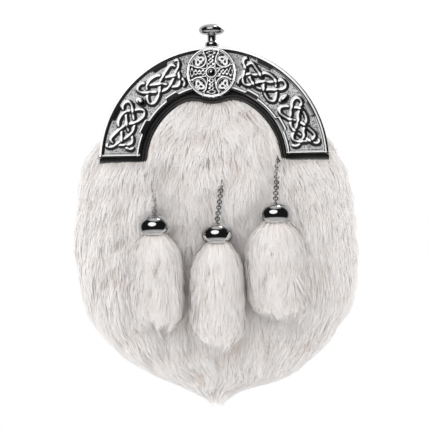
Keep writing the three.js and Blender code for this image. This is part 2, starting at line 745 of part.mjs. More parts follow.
function tasselSpot(tassel, share) {
  const middle = inSpace(tassel.bell);
  const width = at(TASSEL_TABLE, -share, 'width');
  const settle = 1 - (1 - share) ** 3;
  const away = 5.4 * settle;
  return {
    centre: new THREE.Vector3(
      middle.x + tassel.lean * share ** 2,
      middle.y - away,
      middle.z - 7.2 - tassel.length * share,
    ),
    half: tassel.half * width,
    deep: tassel.deep * Math.min(1, width + 0.1),
  };
}

function tasselFur(tassel) {
  const middle = inSpace(tassel.bell);
  const head = lathe([[0, -9.4], [8.2, -9.4], [7.2, 0.2], [0, 3.4]], 8);
  head.translate(middle.x, middle.y, middle.z);
  const core = [0, 0.2, 0.6, 0.87].map((share) => {
    const { centre, half, deep } = tasselSpot(tassel, share);
    const ring = [];
    for (let k = 0; k < TASSEL_LOCKS; k += 1) {
      const angle = 2 * Math.PI * (k + 0.75) / TASSEL_LOCKS;
      const shrink = 0.86;
      ring.push(centre.clone().add(new THREE.Vector3(
        shrink * half * Math.cos(angle),
        shrink * deep * Math.sin(angle),
        0,
      )));
    }
    return ring;
  });
  const shapes = [head, loft(core)];
  for (let k = 0; k < TASSEL_LOCKS; k += 1) {
    const angle = 2 * Math.PI * (k + 0.25) / TASSEL_LOCKS;
    const reach = 1 - 0.07 * ((k * 3) % 4) * (Math.abs(Math.cos(angle)) + 0.3);
    const rings = [0.02, 0.3, 0.66, 1].map((share) => {
      const { centre, half, deep } = tasselSpot(tassel, share * reach);
      const radial = new THREE.Vector3(Math.cos(angle), Math.sin(angle), 0);
      const across = new THREE.Vector3(-Math.sin(angle), Math.cos(angle), 0);
      const out = new THREE.Vector3(half * radial.x, deep * radial.y, 0);
      const wide = Math.max(0.8, 0.34 * half);
      const skin = centre.clone().add(out.clone().multiplyScalar(share > 0.9 ? 0.8 : 1));
      const inside = centre.clone().add(out.clone().multiplyScalar(0.62));
      return [
        inside.clone().addScaledVector(across, -wide),
        skin,
        inside.clone().addScaledVector(across, wide),
      ];
    });
    shapes.push(loft(rings));
  }
  return fused(shapes);
}

for (const tassel of TASSELS) {
  add(`eyelet_${tassel.name}`, eyelet(tassel), CHROME);
  add(`chain_${tassel.name}`, chain(tassel), CHROME);
  add(`bell_${tassel.name}`, bell(tassel), CHROME);
  add(`tassel_${tassel.name}`, tasselFur(tassel), FUR);
}

// The strap loops on the back: a leather strip sewn down at both ends and bowed out between them.
// Columns: the height above or below the middle, and how far the strip stands off the back.
const LOOP_SPREAD = 45;
const LOOP_WIDTH = 18;
const LOOP_THICKNESS = 2.2;
const LOOP_TABLE = [
  { level: 30, off: GAP },
  { level: 21, off: GAP },
  { level: 18.5, off: 4.3 },
  { level: 16, off: 6.3 },
];

function strapLoop(x) {
  const lower = [...LOOP_TABLE].reverse().map((row) => ({ level: -row.level, off: row.off }));
  const run = LOOP_TABLE.concat(lower);
  const inner = run.map((row) => new THREE.Vector2(row.off, row.level));
  const outer = run.map((row) => {
    const bowed = row.off > 1 ? Math.sign(row.level) * LOOP_THICKNESS * 0.6 : 0;
    return new THREE.Vector2(row.off + LOOP_THICKNESS, row.level + bowed);
  });
  const outline = new THREE.Shape(inner.concat(outer.reverse()));
  const geometry = new THREE.ExtrudeGeometry(outline, { depth: LOOP_WIDTH, bevelEnabled: false });
  geometry.rotateX(Math.PI / 2);
  geometry.rotateZ(Math.PI / 2);
  geometry.translate(x - LOOP_WIDTH / 2, 0, STRAP_HEIGHT);
  return geometry;
}

add('strap_loop_left', solid(strapLoop(-LOOP_SPREAD)), BLACK_LEATHER);
add('strap_loop_right', solid(strapLoop(LOOP_SPREAD)), BLACK_LEATHER);

export default sporran;
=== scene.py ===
"""A white fur dress sporran: its cast arch, leather, chains, bells, coat and tassels.

Shapes are worked out in millimetres from the centre of the arch: x to the right, depth forward of the
back plane, and z upward. `placed` turns such points into the frame's metres.
"""

import math

import bpy
import numpy as np
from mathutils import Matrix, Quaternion, Vector


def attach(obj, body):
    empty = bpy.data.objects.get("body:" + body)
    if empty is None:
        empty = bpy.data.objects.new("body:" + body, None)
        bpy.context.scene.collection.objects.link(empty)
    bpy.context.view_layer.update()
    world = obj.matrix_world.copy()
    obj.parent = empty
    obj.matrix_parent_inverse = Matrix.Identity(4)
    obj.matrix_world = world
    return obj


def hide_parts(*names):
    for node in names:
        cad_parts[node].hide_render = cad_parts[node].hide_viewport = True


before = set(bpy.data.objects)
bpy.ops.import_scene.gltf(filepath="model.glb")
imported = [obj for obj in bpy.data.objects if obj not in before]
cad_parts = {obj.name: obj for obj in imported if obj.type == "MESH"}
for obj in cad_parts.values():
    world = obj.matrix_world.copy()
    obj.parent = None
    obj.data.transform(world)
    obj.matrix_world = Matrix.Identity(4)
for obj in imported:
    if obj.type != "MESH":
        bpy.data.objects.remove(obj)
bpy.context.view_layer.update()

MM = 0.001
STRAP_HEIGHT = 25.0
rng = np.random.default_rng(11)


# Shaping tools


def placed(points):
    """Points as x, depth and z in millimetres, in the frame's metres."""
    points = np.asarray(points, float)
    return np.stack([points[..., 0], -points[..., 1], points[..., 2] - STRAP_HEIGHT], -1) * MM


def unit(vectors):
    lengths = np.linalg.norm(vectors, axis=-1, keepdims=True)
    return vectors / np.maximum(lengths, 1e-9)


def inside_out(points, face_arrays):
    """Whether a part's faces point into it."""
    middle = points.mean(0)
    volume = 0
    for faces in face_arrays:
        corners = points[np.asarray(faces)] - middle
        for k in range(1, corners.shape[1] - 1):
            volume += np.sum(corners[:, 0] * np.cross(corners[:, k], corners[:, k + 1]))
    return volume < 0


def made(name, parts, finish, stands_for=(), uv=None):
    """A piece joined from parts, each its vertices and a list of its arrays of faces, turned to face out."""
    vertices, corners, sizes = [], [], []
    start = 0
    for points, face_arrays in parts:
        points = placed(points)
        turn = uv is None and inside_out(points, face_arrays)
        for faces in face_arrays:
            faces = np.asarray(faces)
            faces = faces[:, ::-1] if turn else faces
            corners.append(faces.reshape(-1) + start)
            sizes.append(np.full(len(faces), faces.shape[1]))
        vertices.append(points)
        start += len(points)
    vertices = np.concatenate(vertices)
    corners = np.concatenate(corners)
    sizes = np.concatenate(sizes)
    mesh = bpy.data.meshes.new(name)
    mesh.vertices.add(len(vertices))
    mesh.vertices.foreach_set("co", vertices.reshape(-1).astype(np.float32))
    mesh.loops.add(len(corners))
    mesh.loops.foreach_set("vertex_index", corners.astype(np.int32))
    mesh.polygons.add(len(sizes))
    mesh.polygons.foreach_set("loop_start", (np.cumsum(sizes) - sizes).astype(np.int32))
    mesh.polygons.foreach_set("loop_total", sizes.astype(np.int32))
    mesh.polygons.foreach_set("use_smooth", np.ones(len(sizes), bool))
    if uv is not None:
        layer = mesh.uv_layers.new(name="OFBake")
        layer.data.foreach_set("uv", uv[corners].reshape(-1).astype(np.float32))
    mesh.update(calc_edges=True)
    mesh.validate()
    mesh.materials.append(finish)
    piece = bpy.data.objects.new(name, mesh)
    bpy.context.scene.collection.objects.link(piece)
    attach(piece, "root")
    if stands_for:
        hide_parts(*stands_for)
    return piece


def grid_faces(rows, columns, round_rows=False, round_columns=False):
    """The four-sided faces of a grid of vertices, whose ends may meet."""
    i = np.arange(rows if round_rows else rows - 1)
    j = np.arange(columns if round_columns else columns - 1)
    i, j = [a.reshape(-1) for a in np.meshgrid(i, j, indexing="ij")]
    after_i = (i + 1) % rows
    after_j = (j + 1) % columns
    return np.stack([i * columns + j, i * columns + after_j, after_i * columns + after_j, after_i * columns + j], 1)


def end_faces(rows, columns):
    """The two faces that close a grid whose columns run round it."""
    first = np.arange(columns)[None]
    return [first[:, ::-1], first + (rows - 1) * columns]


def smooth_table(rows):
    """A function that gives a table's columns at any value of its first one, along smooth curves."""
    rows = np.array(sorted(rows), float)
    fine, columns = through(rows[:, 0], rows[:, 1:], 60)
    return lambda value: [np.interp(value, fine, columns[:, k]) for k in range(columns.shape[1])]


def through(stops, values, steps):
    """Smooth curves through values at their stops, with some steps between each two of them."""
    slopes = np.gradient(values, stops, axis=0)
    fine = np.concatenate([np.linspace(a, b, steps, endpoint=False) for a, b in zip(stops, stops[1:])])
    fine = np.append(fine, stops[-1])
    k = np.clip(np.searchsorted(stops, fine, side="right") - 1, 0, len(stops) - 2)
    span = (stops[k + 1] - stops[k])[:, None]
    t = (fine - stops[k])[:, None] / span
    curve = (2 * t**3 - 3 * t**2 + 1) * values[k] + (t**3 - 2 * t**2 + t) * span * slopes[k]
    curve += (3 * t**2 - 2 * t**3) * values[k + 1] + (t**3 - t**2) * span * slopes[k + 1]
    return fine, curve


def even_run(points, spacing):
    """A smooth path through points, as evenly spaced points."""
    points = np.asarray(points, float)
    gaps = np.linalg.norm(np.diff(points, axis=0), axis=1)
    stops = np.concatenate([[0], np.cumsum(np.sqrt(gaps))])
    _, curve = through(stops, points, 24)
    lengths = np.concatenate([[0], np.cumsum(np.linalg.norm(np.diff(curve, axis=0), axis=1))])
    count = max(3, int(round(lengths[-1] / spacing)) + 1)
    even = np.linspace(0, lengths[-1], count)
    return np.stack([np.interp(even, lengths, curve[:, k]) for k in range(curve.shape[1])], 1)


def rib(path, section, taper):
    """A raised rib on the front: a section, as across and forward, carried along a path that lies on it."""
    along = np.gradient(path, axis=0)
    along[:, 1] = 0
    along = unit(along)
    across = np.stack([along[:, 2], np.zeros(len(path)), -along[:, 0]], 1)
    size = np.ones(len(path))
    size[: len(taper)] = taper
    size[-len(taper):] = taper[::-1]
    section = np.asarray(section, float)
    points = path[:, None] + across[:, None] * (section[:, 0, None] * size[:, None, None])
    points[:, :, 1] += section[:, 1] * size[:, None]
    rows, columns = points.shape[:2]
    return points.reshape(-1, 3), [grid_faces(rows, columns, round_columns=True), *end_faces(rows, columns)]


def turned(profile, centre, steps, axis="up"):
    """A lathe-turned shape from its profile of radius and height, standing up or facing forward."""
    profile = np.asarray(profile, float)
    angles = np.arange(steps) * 2 * math.pi / steps
    ring = np.stack([np.cos(angles), np.sin(angles)], 1)
    flat = profile[:, 0, None, None] * ring
    height = np.repeat(profile[:, 1, None], steps, 1)
    if axis == "up":
        points = np.stack([flat[..., 0], flat[..., 1], height], -1)
    else:
        points = np.stack([flat[..., 0], height, -flat[..., 1]], -1)
    faces = grid_faces(len(profile), steps, round_columns=True)
    return points.reshape(-1, 3) + np.asarray(centre, float), [faces]


def wire_ring(centre, along, turn, radius, wire, stretch, steps=28, sides=10):
    """A ring of wire, pulled longer along one direction. Directions are in x, depth and z."""
    theta, phi = np.meshgrid(np.arange(steps) * 2 * math.pi / steps, np.arange(sides) * 2 * math.pi / sides, indexing="ij")
    reach = radius + wire * np.cos(phi)
    wide = reach * np.cos(theta)
    long = reach * np.sin(theta)
    long += np.clip(long / (radius * 0.6), -1, 1) * stretch / 2
    thick = wire * np.sin(phi)
    along = unit(np.asarray(along, float))
    sideways = unit(np.array([1.0, 0, 0]) - along * along[0])
    across = np.cross(along, sideways)
    wide_way = sideways * math.cos(turn) + across * math.sin(turn)
    thick_way = np.cross(wide_way, along)
    points = wide[..., None] * wide_way + long[..., None] * along + thick[..., None] * thick_way
    faces = grid_faces(steps, sides, True, True)
    return points.reshape(-1, 3) + np.asarray(centre, float), [faces]


def on_arch(degrees, radius, depth=0.0):
    """A point of the arch, by its angle up from the left end and its radius."""
    angle = np.radians(degrees)
    x, z = -radius * np.cos(angle), radius * np.sin(angle)
    return np.stack(np.broadcast_arrays(x, depth, z), -1)


# Finishes


# The way the painted light on the silver comes from, in the object's own frame
PAINTED_LIGHT_WAY = (-0.42, -0.78, 0.46)


class Value:
    """A shader value that Python's arithmetic works on."""

    def __init__(self, finish, socket):
        self.finish = finish
        self.socket = socket

    def maths(self, operation, first, second):
        return self.finish.node("Math", {"operation": operation}, {0: first, 1: second})

    def __add__(self, other):
        return self.maths("ADD", self, other)

    def __radd__(self, other):
        return self.maths("ADD", other, self)

    def __sub__(self, other):
        return self.maths("SUBTRACT", self, other)

    def __rsub__(self, other):
        return self.maths("SUBTRACT", other, self)

    def __mul__(self, other):
        return self.maths("MULTIPLY", self, other)

    def __rmul__(self, other):
        return self.maths("MULTIPLY", other, self)

    def __pow__(self, other):
        return self.maths("POWER", self, other)


class Finish:
    """A material, or the studio's surroundings, under construction."""

    def __init__(self, holder):
        holder.use_nodes = True
        self.holder = holder
        self.tree = holder.node_tree
        self.tree.nodes.clear()

    def node(self, kind, settings=None, sockets=None, out=0):
        """Adds a node, sets it up, fills its sockets, and gives one of its outputs."""
        made_node = self.tree.nodes.new("ShaderNode" + kind)
        for key, value in (settings or {}).items():
            if key == "stops":
                self.set_stops(made_node.color_ramp.elements, value)
            else:
                setattr(made_node, key, value)
        for key, value in (sockets or {}).items():
            if isinstance(value, Value):
                self.tree.links.new(value.socket, made_node.inputs[key])
            else:
                made_node.inputs[key].default_value = value
        return Value(self, made_node.outputs[out]) if len(made_node.outputs) else None

    @staticmethod
    def set_stops(elements, stops):
        while len(elements) < len(stops):
            elements.new(0.5)
        for element, (place, colour) in zip(elements, stops):
            element.position = place
            element.color = (*colour, 1)

    def spot(self, stretch=None):
        """The place on the object, in metres of its own frame."""
        spot = self.node("TexCoord", out=3)
        if stretch:
            spot = self.node("VectorMath", {"operation": "MULTIPLY"}, {0: spot, 1: stretch})
        return spot

    def noise(self, scale, detail=3.0, roughness=0.5, stretch=None):
        sockets = {"Vector": self.spot(stretch), "Scale": scale, "Detail": detail, "Roughness": roughness}
        return self.node("TexNoise", None, sockets)

    def cells(self, scale, feature="F1", out=0):
        return self.node("TexVoronoi", {"feature": feature}, {"Vector": self.spot(), "Scale": scale}, out)

    def depth(self):
        """How far forward of the back plane, in millimetres."""
        return self.node("SeparateXYZ", None, {0: self.spot()}, out=1) * -1000.0

    def painted_lit(self, low, high):
        """How much painted light a surface gets: full where it faces forward, up or left, and none low on the right,
        which is left in painted shade.
        """
        sockets = {0: self.node("TexCoord", out=1), 1: PAINTED_LIGHT_WAY}
        return self.level(self.node("VectorMath", {"operation": "DOT_PRODUCT"}, sockets, out=1), low, high)

    def ramp(self, value, stops):
        return self.node("ValToRGB", {"stops": stops}, {0: value})

    def level(self, value, low, high, new_low=0.0, new_high=1.0):
        """A value spread from one range onto another, and held inside it."""
        return self.node("MapRange", {"clamp": True}, {0: value, 1: low, 2: high, 3: new_low, 4: new_high})

    def mixed(self, share, first, second, blend="MIX"):
        """Two colours mixed by a share."""
        return self.node("Mix", {"data_type": "RGBA", "blend_type": blend}, {0: share, 6: first, 7: second}, out=2)

    def bumped(self, height, strength, distance):
        return self.node("Bump", None, {"Height": height, "Strength": strength, "Distance": distance})

    def done(self, **sockets):
        """Ends the material in one surface, whose sockets are named with underscores."""
        surface = self.node("BsdfPrincipled", None, {key.replace("_", " "): v for key, v in sockets.items()})
        self.node("OutputMaterial", None, {"Surface": surface})
        return self.holder


def new_finish(name):
    return Finish(bpy.data.materials.new(name))


def cast_silver():
    """Silver plate on a casting, dull and stippled in the sunk ground. Its raised borders are painted white as painted
    light where they face forward, up or left, and black as painted shade on their other sides and at the foot of each
    wall, with a painted dark reflection on the flat steps.
    """
    f = new_finish("cast silver")
    depth = f.depth()
    raised = f.level((depth - 20.2).maths("ABSOLUTE", depth - 20.2, 0.0), 0.004, 0.012)
    # Painted shade: a thin black line at the foot of each wall
    painted_crevice_shade = f.level(depth, 20.204, 20.215) * (1 - f.level(depth, 20.28, 20.36))
    # Painted reflection: the flat steps between the borders are painted black, standing in for the dark room they would
    # mirror
    painted_reflection_flats = f.level(depth, 20.66, 20.7) * (1 - f.level(depth, 20.93, 20.96))
    grain = f.noise(1100, 2, 0.7)
    stipple = f.cells(1000)
    tarnish = f.level(f.noise(60, 4, 0.6), 0.42, 0.7)
    ground = f.mixed(tarnish, (0.64, 0.64, 0.64, 1), (0.42, 0.415, 0.41, 1))
    ground = f.mixed(f.level(grain + stipple * 0.4, 0.52, 0.72), (0.07, 0.07, 0.07, 1), ground)
    top = f.mixed(tarnish, (0.96, 0.96, 0.965, 1), (0.86, 0.86, 0.865, 1))
    # Painted light and shade on the raised borders: white where they face the painted light, black where they don't, on
    # the flat steps and at the foot of each wall
    top = f.mixed(f.painted_lit(0.64, 0.77) * (1 - painted_reflection_flats) * (1 - painted_crevice_shade), (0.012, 0.012, 0.012, 1), top)
    colour = f.mixed(raised, ground, top)
    metal = f.level(raised, 0, 1, 0.25, 0.15)
    rough = f.level(raised, 0, 1, 0.5, 0.2) + f.noise(240, 2) * 0.05
    pits = f.bumped((stipple + grain) * (1 - raised) + f.noise(420, 2) * 0.05, 0.8, 0.0004)
    return f.done(Base_Color=colour, Metallic=metal, Roughness=rough, Normal=pits)


def relief_silver():
    """Silver plate on the raised knots: painted white as painted light on the sides facing forward, up or left, and
    painted black as shade on the sides turned away, more widely near their feet.
    """
    f = new_finish("relief silver")
    tarnish = f.level(f.noise(90, 4, 0.6), 0.42, 0.7)
    top = f.mixed(tarnish, (0.97, 0.97, 0.975, 1), (0.86, 0.86, 0.865, 1))
    # Painted light and shade: white facing the painted light, black turned away; near the foot the white narrows,
    # leaving a wider painted shadow
    low = 1 - f.level(f.depth(), 20.3, 20.55)
    painted_lit = f.painted_lit(0.71, 0.85) * (1 - low * (1 - f.painted_lit(0.82, 0.9)))
    colour = f.mixed(painted_lit, (0.012, 0.012, 0.012, 1), top)
    metal = f.level(f.depth(), 21.95, 22.1, 0.12, 1.0)
    rough = f.level(painted_lit, 0, 1, 0.4, 0.2) + f.noise(300, 2) * 0.06
    return f.done(Base_Color=colour, Metallic=metal, Roughness=rough)


def badge_silver():
    """Silver plate on the badge: bright lines over black grooves, with grey leaves in the hollows, and the raised parts
    painted black as shade where they face away from the painted light.
    """
    f = new_finish("badge silver")
    depth = f.depth()
    black, grey, bright = (0.012, 0.012, 0.012), (0.88, 0.88, 0.88), (0.98, 0.98, 0.985)
    height = f.level(depth, 21.5, 23.5)
    stops = [(0.0, black), (0.14, black), (0.22, grey), (0.48, grey), (0.52, black), (0.6, black), (0.66, bright)]
    # Painted shade: raised parts turned away from the painted light are painted black
    painted_shade = (1 - f.painted_lit(0.62, 0.80)) * f.level(height, 0.5, 0.6)
    colour = f.mixed(painted_shade, f.ramp(height, stops), (0.012, 0.012, 0.012, 1))
    metal = f.level(depth, 23.6, 23.9, 0.1, 1.0)
    rough = f.level(depth, 23.5, 23.9, 0.26, 0.08) + f.noise(300, 2) * 0.06
    return f.done(Base_Color=colour, Metallic=metal, Roughness=rough)


def bright_chrome():
    """Smooth plate on the knob and the bells, with faint wear."""
    f = new_finish("bright chrome")
    wear = f.level(f.noise(140, 4, 0.6), 0.5, 0.75)
    colour = f.mixed(wear, (0.72, 0.72, 0.725, 1), (0.62, 0.62, 0.62, 1))
    rough = f.level(f.noise(420, 3), 0.3, 0.8, 0.05, 0.11)
    normal = f.bumped(f.noise(90, 2), 0.06, 0.0004)
    return f.done(Base_Color=colour, Metallic=1.0, Roughness=rough, Normal=normal)


def chain_steel():
    """Darker plate on the chains and their eyes."""
    f = new_finish("chain steel")
    wear = f.level(f.noise(300, 3, 0.6), 0.4, 0.7)
    colour = f.mixed(wear, (0.66, 0.66, 0.66, 1), (0.34, 0.34, 0.34, 1))
    return f.done(Base_Color=colour, Metallic=1.0, Roughness=0.16)


def black_hide(name, ridge):
    """Black dress leather, with a fine pebble grain. Above one depth, in millimetres, it is painted grey as a painted
    sheen, broken up by the creases.
    """
    f = new_finish(name)
    pebble = f.cells(1150, "SMOOTH_F1")
    crease = f.noise(300, 4, 0.65)
    worn = f.level(f.noise(70, 3), 0.45, 0.75)
    colour = f.mixed(worn, (0.012, 0.0115, 0.0115, 1), (0.024, 0.0225, 0.022, 1))
    # Painted sheen: the tops of the rolled edge are painted grey where light would catch them
    painted_sheen = f.level(f.depth(), ridge, ridge + 0.12) * f.level(crease, 0.2, 0.7, 0.6, 1.0)
    colour = f.mixed(painted_sheen, colour, (0.085, 0.084, 0.083, 1))
    rough = f.level(crease, 0.3, 0.75, 0.32, 0.54)
    normal = f.bumped(pebble * -0.7 + crease * 0.5, 0.35, 0.0003)
    return f.done(Base_Color=colour, Roughness=rough, Normal=normal, Specular_IOR_Level=0.5)


def waxed_thread():
    f = new_finish("waxed thread")
    twist = f.noise(1600, 2, 0.6)
    colour = f.ramp(twist, [(0.35, (0.035, 0.034, 0.033)), (0.7, (0.11, 0.108, 0.105))])
    return f.done(Base_Color=colour, Roughness=0.5)


def pelt_skin():
    """The skin and short underwool that the long hair grows from."""
    f = new_finish("underwool")
    wool = f.noise(500, 5, 0.7)
    colour = f.ramp(wool, [(0.3, (0.72, 0.64, 0.58)), (0.7, (0.86, 0.81, 0.77))])
    return f.done(Base_Color=colour, Roughness=0.9, Normal=f.bumped(wool, 0.8, 0.001))


def white_hair():
    """Long white hair: creamy at the root, white toward the tip, each lock in its own tone, which also carries painted
    shade and painted light from where the hair lies.
    """
    f = new_finish("long white hair")
    layer = f.node("UVMap", {"uv_map": "OFBake"})
    tone = f.node("SeparateXYZ", None, {0: layer}, out=0)
    along = f.node("SeparateXYZ", None, {0: layer}, out=1)
    length = f.ramp(along, [(0.0, (0.70, 0.61, 0.54)), (0.25, (0.84, 0.785, 0.74)), (0.6, (0.915, 0.895, 0.88)), (1.0, (0.95, 0.943, 0.938))])
    shade = f.ramp(tone, [(0.0, (0.80, 0.72, 0.66)), (0.25, (0.93, 0.89, 0.86)), (0.5, (0.985, 0.970, 0.963)), (1.0, (1.0, 1.0, 1.0))])
    colour = f.mixed(1.0, length, shade, "MULTIPLY")
    return f.done(Base_Color=colour, Roughness=0.62, Specular_IOR_Level=0.25)


SILVER = cast_silver()
CHROME = bright_chrome()
RELIEF = relief_silver()
BADGE = badge_silver()
STEEL = chain_steel()
LEATHER = black_hide("black dress leather", 60.0)
EDGE_LEATHER = black_hide("edge leather with painted sheen", 16.98)
THREAD = waxed_thread()
UNDERWOOL = pelt_skin()
HAIR = white_hair()

# The cast arch

ARCH_RADIUS = 76.0
BAND_INNER_RADIUS = 48.7
LEG_FOOT = 4.3
PANEL_OUTER = 72.9
PANEL_INNER = 50.9
PANEL_FOOT = 6.2
PLATE_BACK = 17.6
GROUND = 20.2
BORDER_TOP = 21.1
FLANGE_BACK = 12.5
OUTER_STEPS = [(20.9, 29.4, -2.3), (55.8, 64.6, -2.3)]
INNER_STEPS = [(18.6, 30.1, 2.0), (51.6, 62.1, 2.0)]
STRAND_HEIGHT = 1.3
STRAND_WIDTH = 2.8
CROSSINGS = {
    "a": (1.9, 65.1), "b": (4.9, 61.9), "c": (10.3, 57.5), "d": (18.1, 57.9), "e": (24.3, 62.8),
    "f": (21.2, 66.7), "g": (15.1, 62.0), "h": (2.4, 59.9), "i": (11.4, 64.9),
}
ROUTE = [
    (1.8, 70.0), (1.2, 71.0), (0, 70.5), (0, 68.2), "a", "b", (7.5, 59.4), "c", (14.0, 56.6), "d",
    (21.2, 60.1), "e", (26.8, 65.8), (27.1, 68.4), (25.5, 70.0), (23.1, 69.7), "f", (18.8, 64.2), "g",
    (12.3, 59.6), "c", (8.1, 55.4), (5.1, 54.9), (3.1, 57.0), "h", "a", (2.9, 68.0), (4.5, 69.2),
    (8.1, 67.1), "i", "g", "d", (21.8, 55.5), (25.8, 54.7), (28.2, 56.5), (27.1, 59.6), "e", "f",
    (18.1, 67.9), (14.7, 67.7), (12.7, 66.6), "i", (8.5, 63.0), "b", "h", (0.9, 57.6), (0.3, 55.7),
    (1.1, 53.9), (2.7, 53.1),
]
KNOTS = [(9.1, 1, 1), (71.7, -1, 1), (9.1, 1, -1), (71.7, -1, -1)]
OVER = 0.42
UNDER = -0.75
CROSSING_REACH = 2.3


def panel_edge(degrees, radius, steps):
    """The radius of one edge of the sunk panel, which steps in and out along the arch."""
    upward = np.minimum(degrees, 180 - degrees)
    edge = np.full(len(degrees), radius)
    for first, last, by in steps:
        rise = np.clip((upward - first) / 0.8 + 0.5, 0, 1) * np.clip((last - upward) / 0.8 + 0.5, 0, 1)
        edge += by * rise
    return edge


def arch_plate():
    """The band with its sunk panel, its raised borders and the flange round its outer edge."""
    foot_steps = np.array([0, 0.25, 0.5, 0.75, 1.0, 1.25, 1.5, 1.75, 2.0])
    degrees = np.concatenate([foot_steps, np.linspace(2.4, 177.6, 439), 180 - foot_steps[::-1]])
    low = panel_edge(degrees, PANEL_INNER, INNER_STEPS)
    high = panel_edge(degrees, PANEL_OUTER, OUTER_STEPS)
    one = np.ones(len(degrees))
    inner, outer = BAND_INNER_RADIUS * one, ARCH_RADIUS * one
    run = [
        (inner, PLATE_BACK), (inner, 20.35), (inner + 0.08, 20.62), (inner + 0.2, 20.68), (low - 1.3, 20.7),
        (low - 1.26, 20.95), (low - 1.05, 21.08), (low - 0.6, 21.14), (low - 0.2, 21.04), (low - 0.04, 20.95),
        (low, 20.62), (low + 0.2, 20.36), (low + 0.42, 20.21), (low + 0.44, GROUND),
        (low * 0.75 + high * 0.25, GROUND), (low * 0.5 + high * 0.5, GROUND), (low * 0.25 + high * 0.75, GROUND),
        (high - 0.44, GROUND), (high - 0.42, 20.21), (high - 0.2, 20.36), (high, 20.6), (high + 0.15, 20.68),
        (outer - 2.2, 20.7), (outer - 2.16, 20.97), (outer - 2.0, 21.3), (outer - 1.7, 21.52), (outer - 1.2, 21.44),
        (outer - 0.6, 21.22), (outer - 0.12, 20.98), (outer - 0.03, 20.66), (outer, 20.4), (outer, 17.0), (outer, FLANGE_BACK), (outer - 1.6, FLANGE_BACK), (outer - 1.6, PLATE_BACK),
    ]
    rings = []
    for radius, depth in run:
        foot = np.degrees(np.arcsin(LEG_FOOT / radius))
        points = on_arch(foot + degrees / 180 * (180 - 2 * foot), radius, np.full(len(degrees), depth))
        if 20.1 < depth < 21.0:
            above = points[:, 2]
            sill = np.interp(above, [4.3, 4.7, 5.0, 5.35, 5.7, 6.0, 6.25, 6.6], [20.6, 20.9, 21.12, 21.16, 21.0, 20.62, 20.34, 20.21])
            points[:, 1] = np.where(above < 6.6, np.maximum(min(depth, 20.7), sill), depth)
        if depth > 20.3:
            edge = np.clip((points[:, 2] - LEG_FOOT) / 0.45, 0, 1)
            points[:, 1] -= 0.35 * (1 - edge) ** 2
        rings.append(points)
    points = np.stack(rings, 1)
    rows, columns = points.shape[:2]
    return points.reshape(-1, 3), [grid_faces(rows, columns, round_columns=True), *end_faces(rows, columns)]


def knot_strand(foot, turn, side):
    """One knot: a single rib that passes over and under itself by turns."""
    over = False
    flat, passes = [], []
    for stop in ROUTE:
        crossing = isinstance(stop, str)
        degrees, radius = CROSSINGS[stop] if crossing else stop
        spot = on_arch(foot + turn * degrees, radius)
        spot[0] *= side
        if crossing:
            over = not over
            passes.append((spot, over))
        flat.append(spot)
    path = even_run(flat, 0.75)
    lift = np.zeros(len(path))
    used = np.zeros(len(path), bool)
    cursor = 0
    for spot, over in passes:
        distances = np.linalg.norm(path[cursor:] - spot, axis=1)
        near = cursor + first_closest(distances)
        reach = np.abs(np.arange(len(path)) - near) * 0.75 / CROSSING_REACH
        bump = np.where(reach < 1, 0.5 + 0.5 * np.cos(math.pi * np.minimum(reach, 1)), 0)
        lift += bump * (OVER if over else UNDER)
        cursor = near + 2
    path[:, 1] = GROUND + lift
    half = STRAND_WIDTH / 2
    rise = [(1.42, 0.02), (1.08, 0.12), (0.98, 0.36), (0.87, 0.64), (0.71, 0.91), (0.5, 1.12), (0.26, 1.25)]
    section = [(-half * a, b) for a, b in rise] + [(0, STRAND_HEIGHT)] + [(half * a, b) for a, b in rise[::-1]]
    section = [(-half * 1.42, -0.6), *section, (half * 1.42, -0.6)]
    return rib(path, section, [0.45, 0.75, 0.92])


def first_closest(distances):
    """The first place where a path comes within reach of a spot, at its nearest there."""
    near = np.nonzero(distances < 1.2)[0]
    if len(near) == 0:
        return int(np.argmin(distances))
    first = near[0]
    window = distances[first : first + 6]
    return int(first + np.argmin(window))


def oval_bead(side):
    """The long bead between two knots, pointing out from the arch's centre."""
    theta, phi = np.meshgrid(np.arange(40) * 2 * math.pi / 40, np.linspace(0, math.pi / 2, 10), indexing="ij")
    long = 4.2 * np.cos(theta) * np.cos(phi)
    wide = 2.9 * np.sin(theta) * np.cos(phi)
    up = GROUND + 2.3 * np.sin(phi)
    angle = math.radians(40.5)
    centre = on_arch(40.5, 62.0)
    x = centre[0] - long * math.cos(angle) - wide * math.sin(angle)
    z = centre[2] + long * math.sin(angle) - wide * math.cos(angle)
    points = np.stack([side * x, up, z], -1).reshape(-1, 3)
    faces = grid_faces(40, 10, round_rows=True)
    return points, [faces]


made("cast_arch", [arch_plate()], SILVER, ["cantle"])
made("cast_knots", [knot_strand(*knot) for knot in KNOTS] + [oval_bead(1), oval_bead(-1)], RELIEF)

# The round badge with its cross

BOSS_HEIGHT = 58.6
BOSS_RADIUS = 16.6


def raised_line(distance, half_width):
    """The rounded cross-section of a raised line, by the distance from its middle."""
    return np.sqrt(np.clip(1 - (distance / half_width) ** 2, 0, 1))


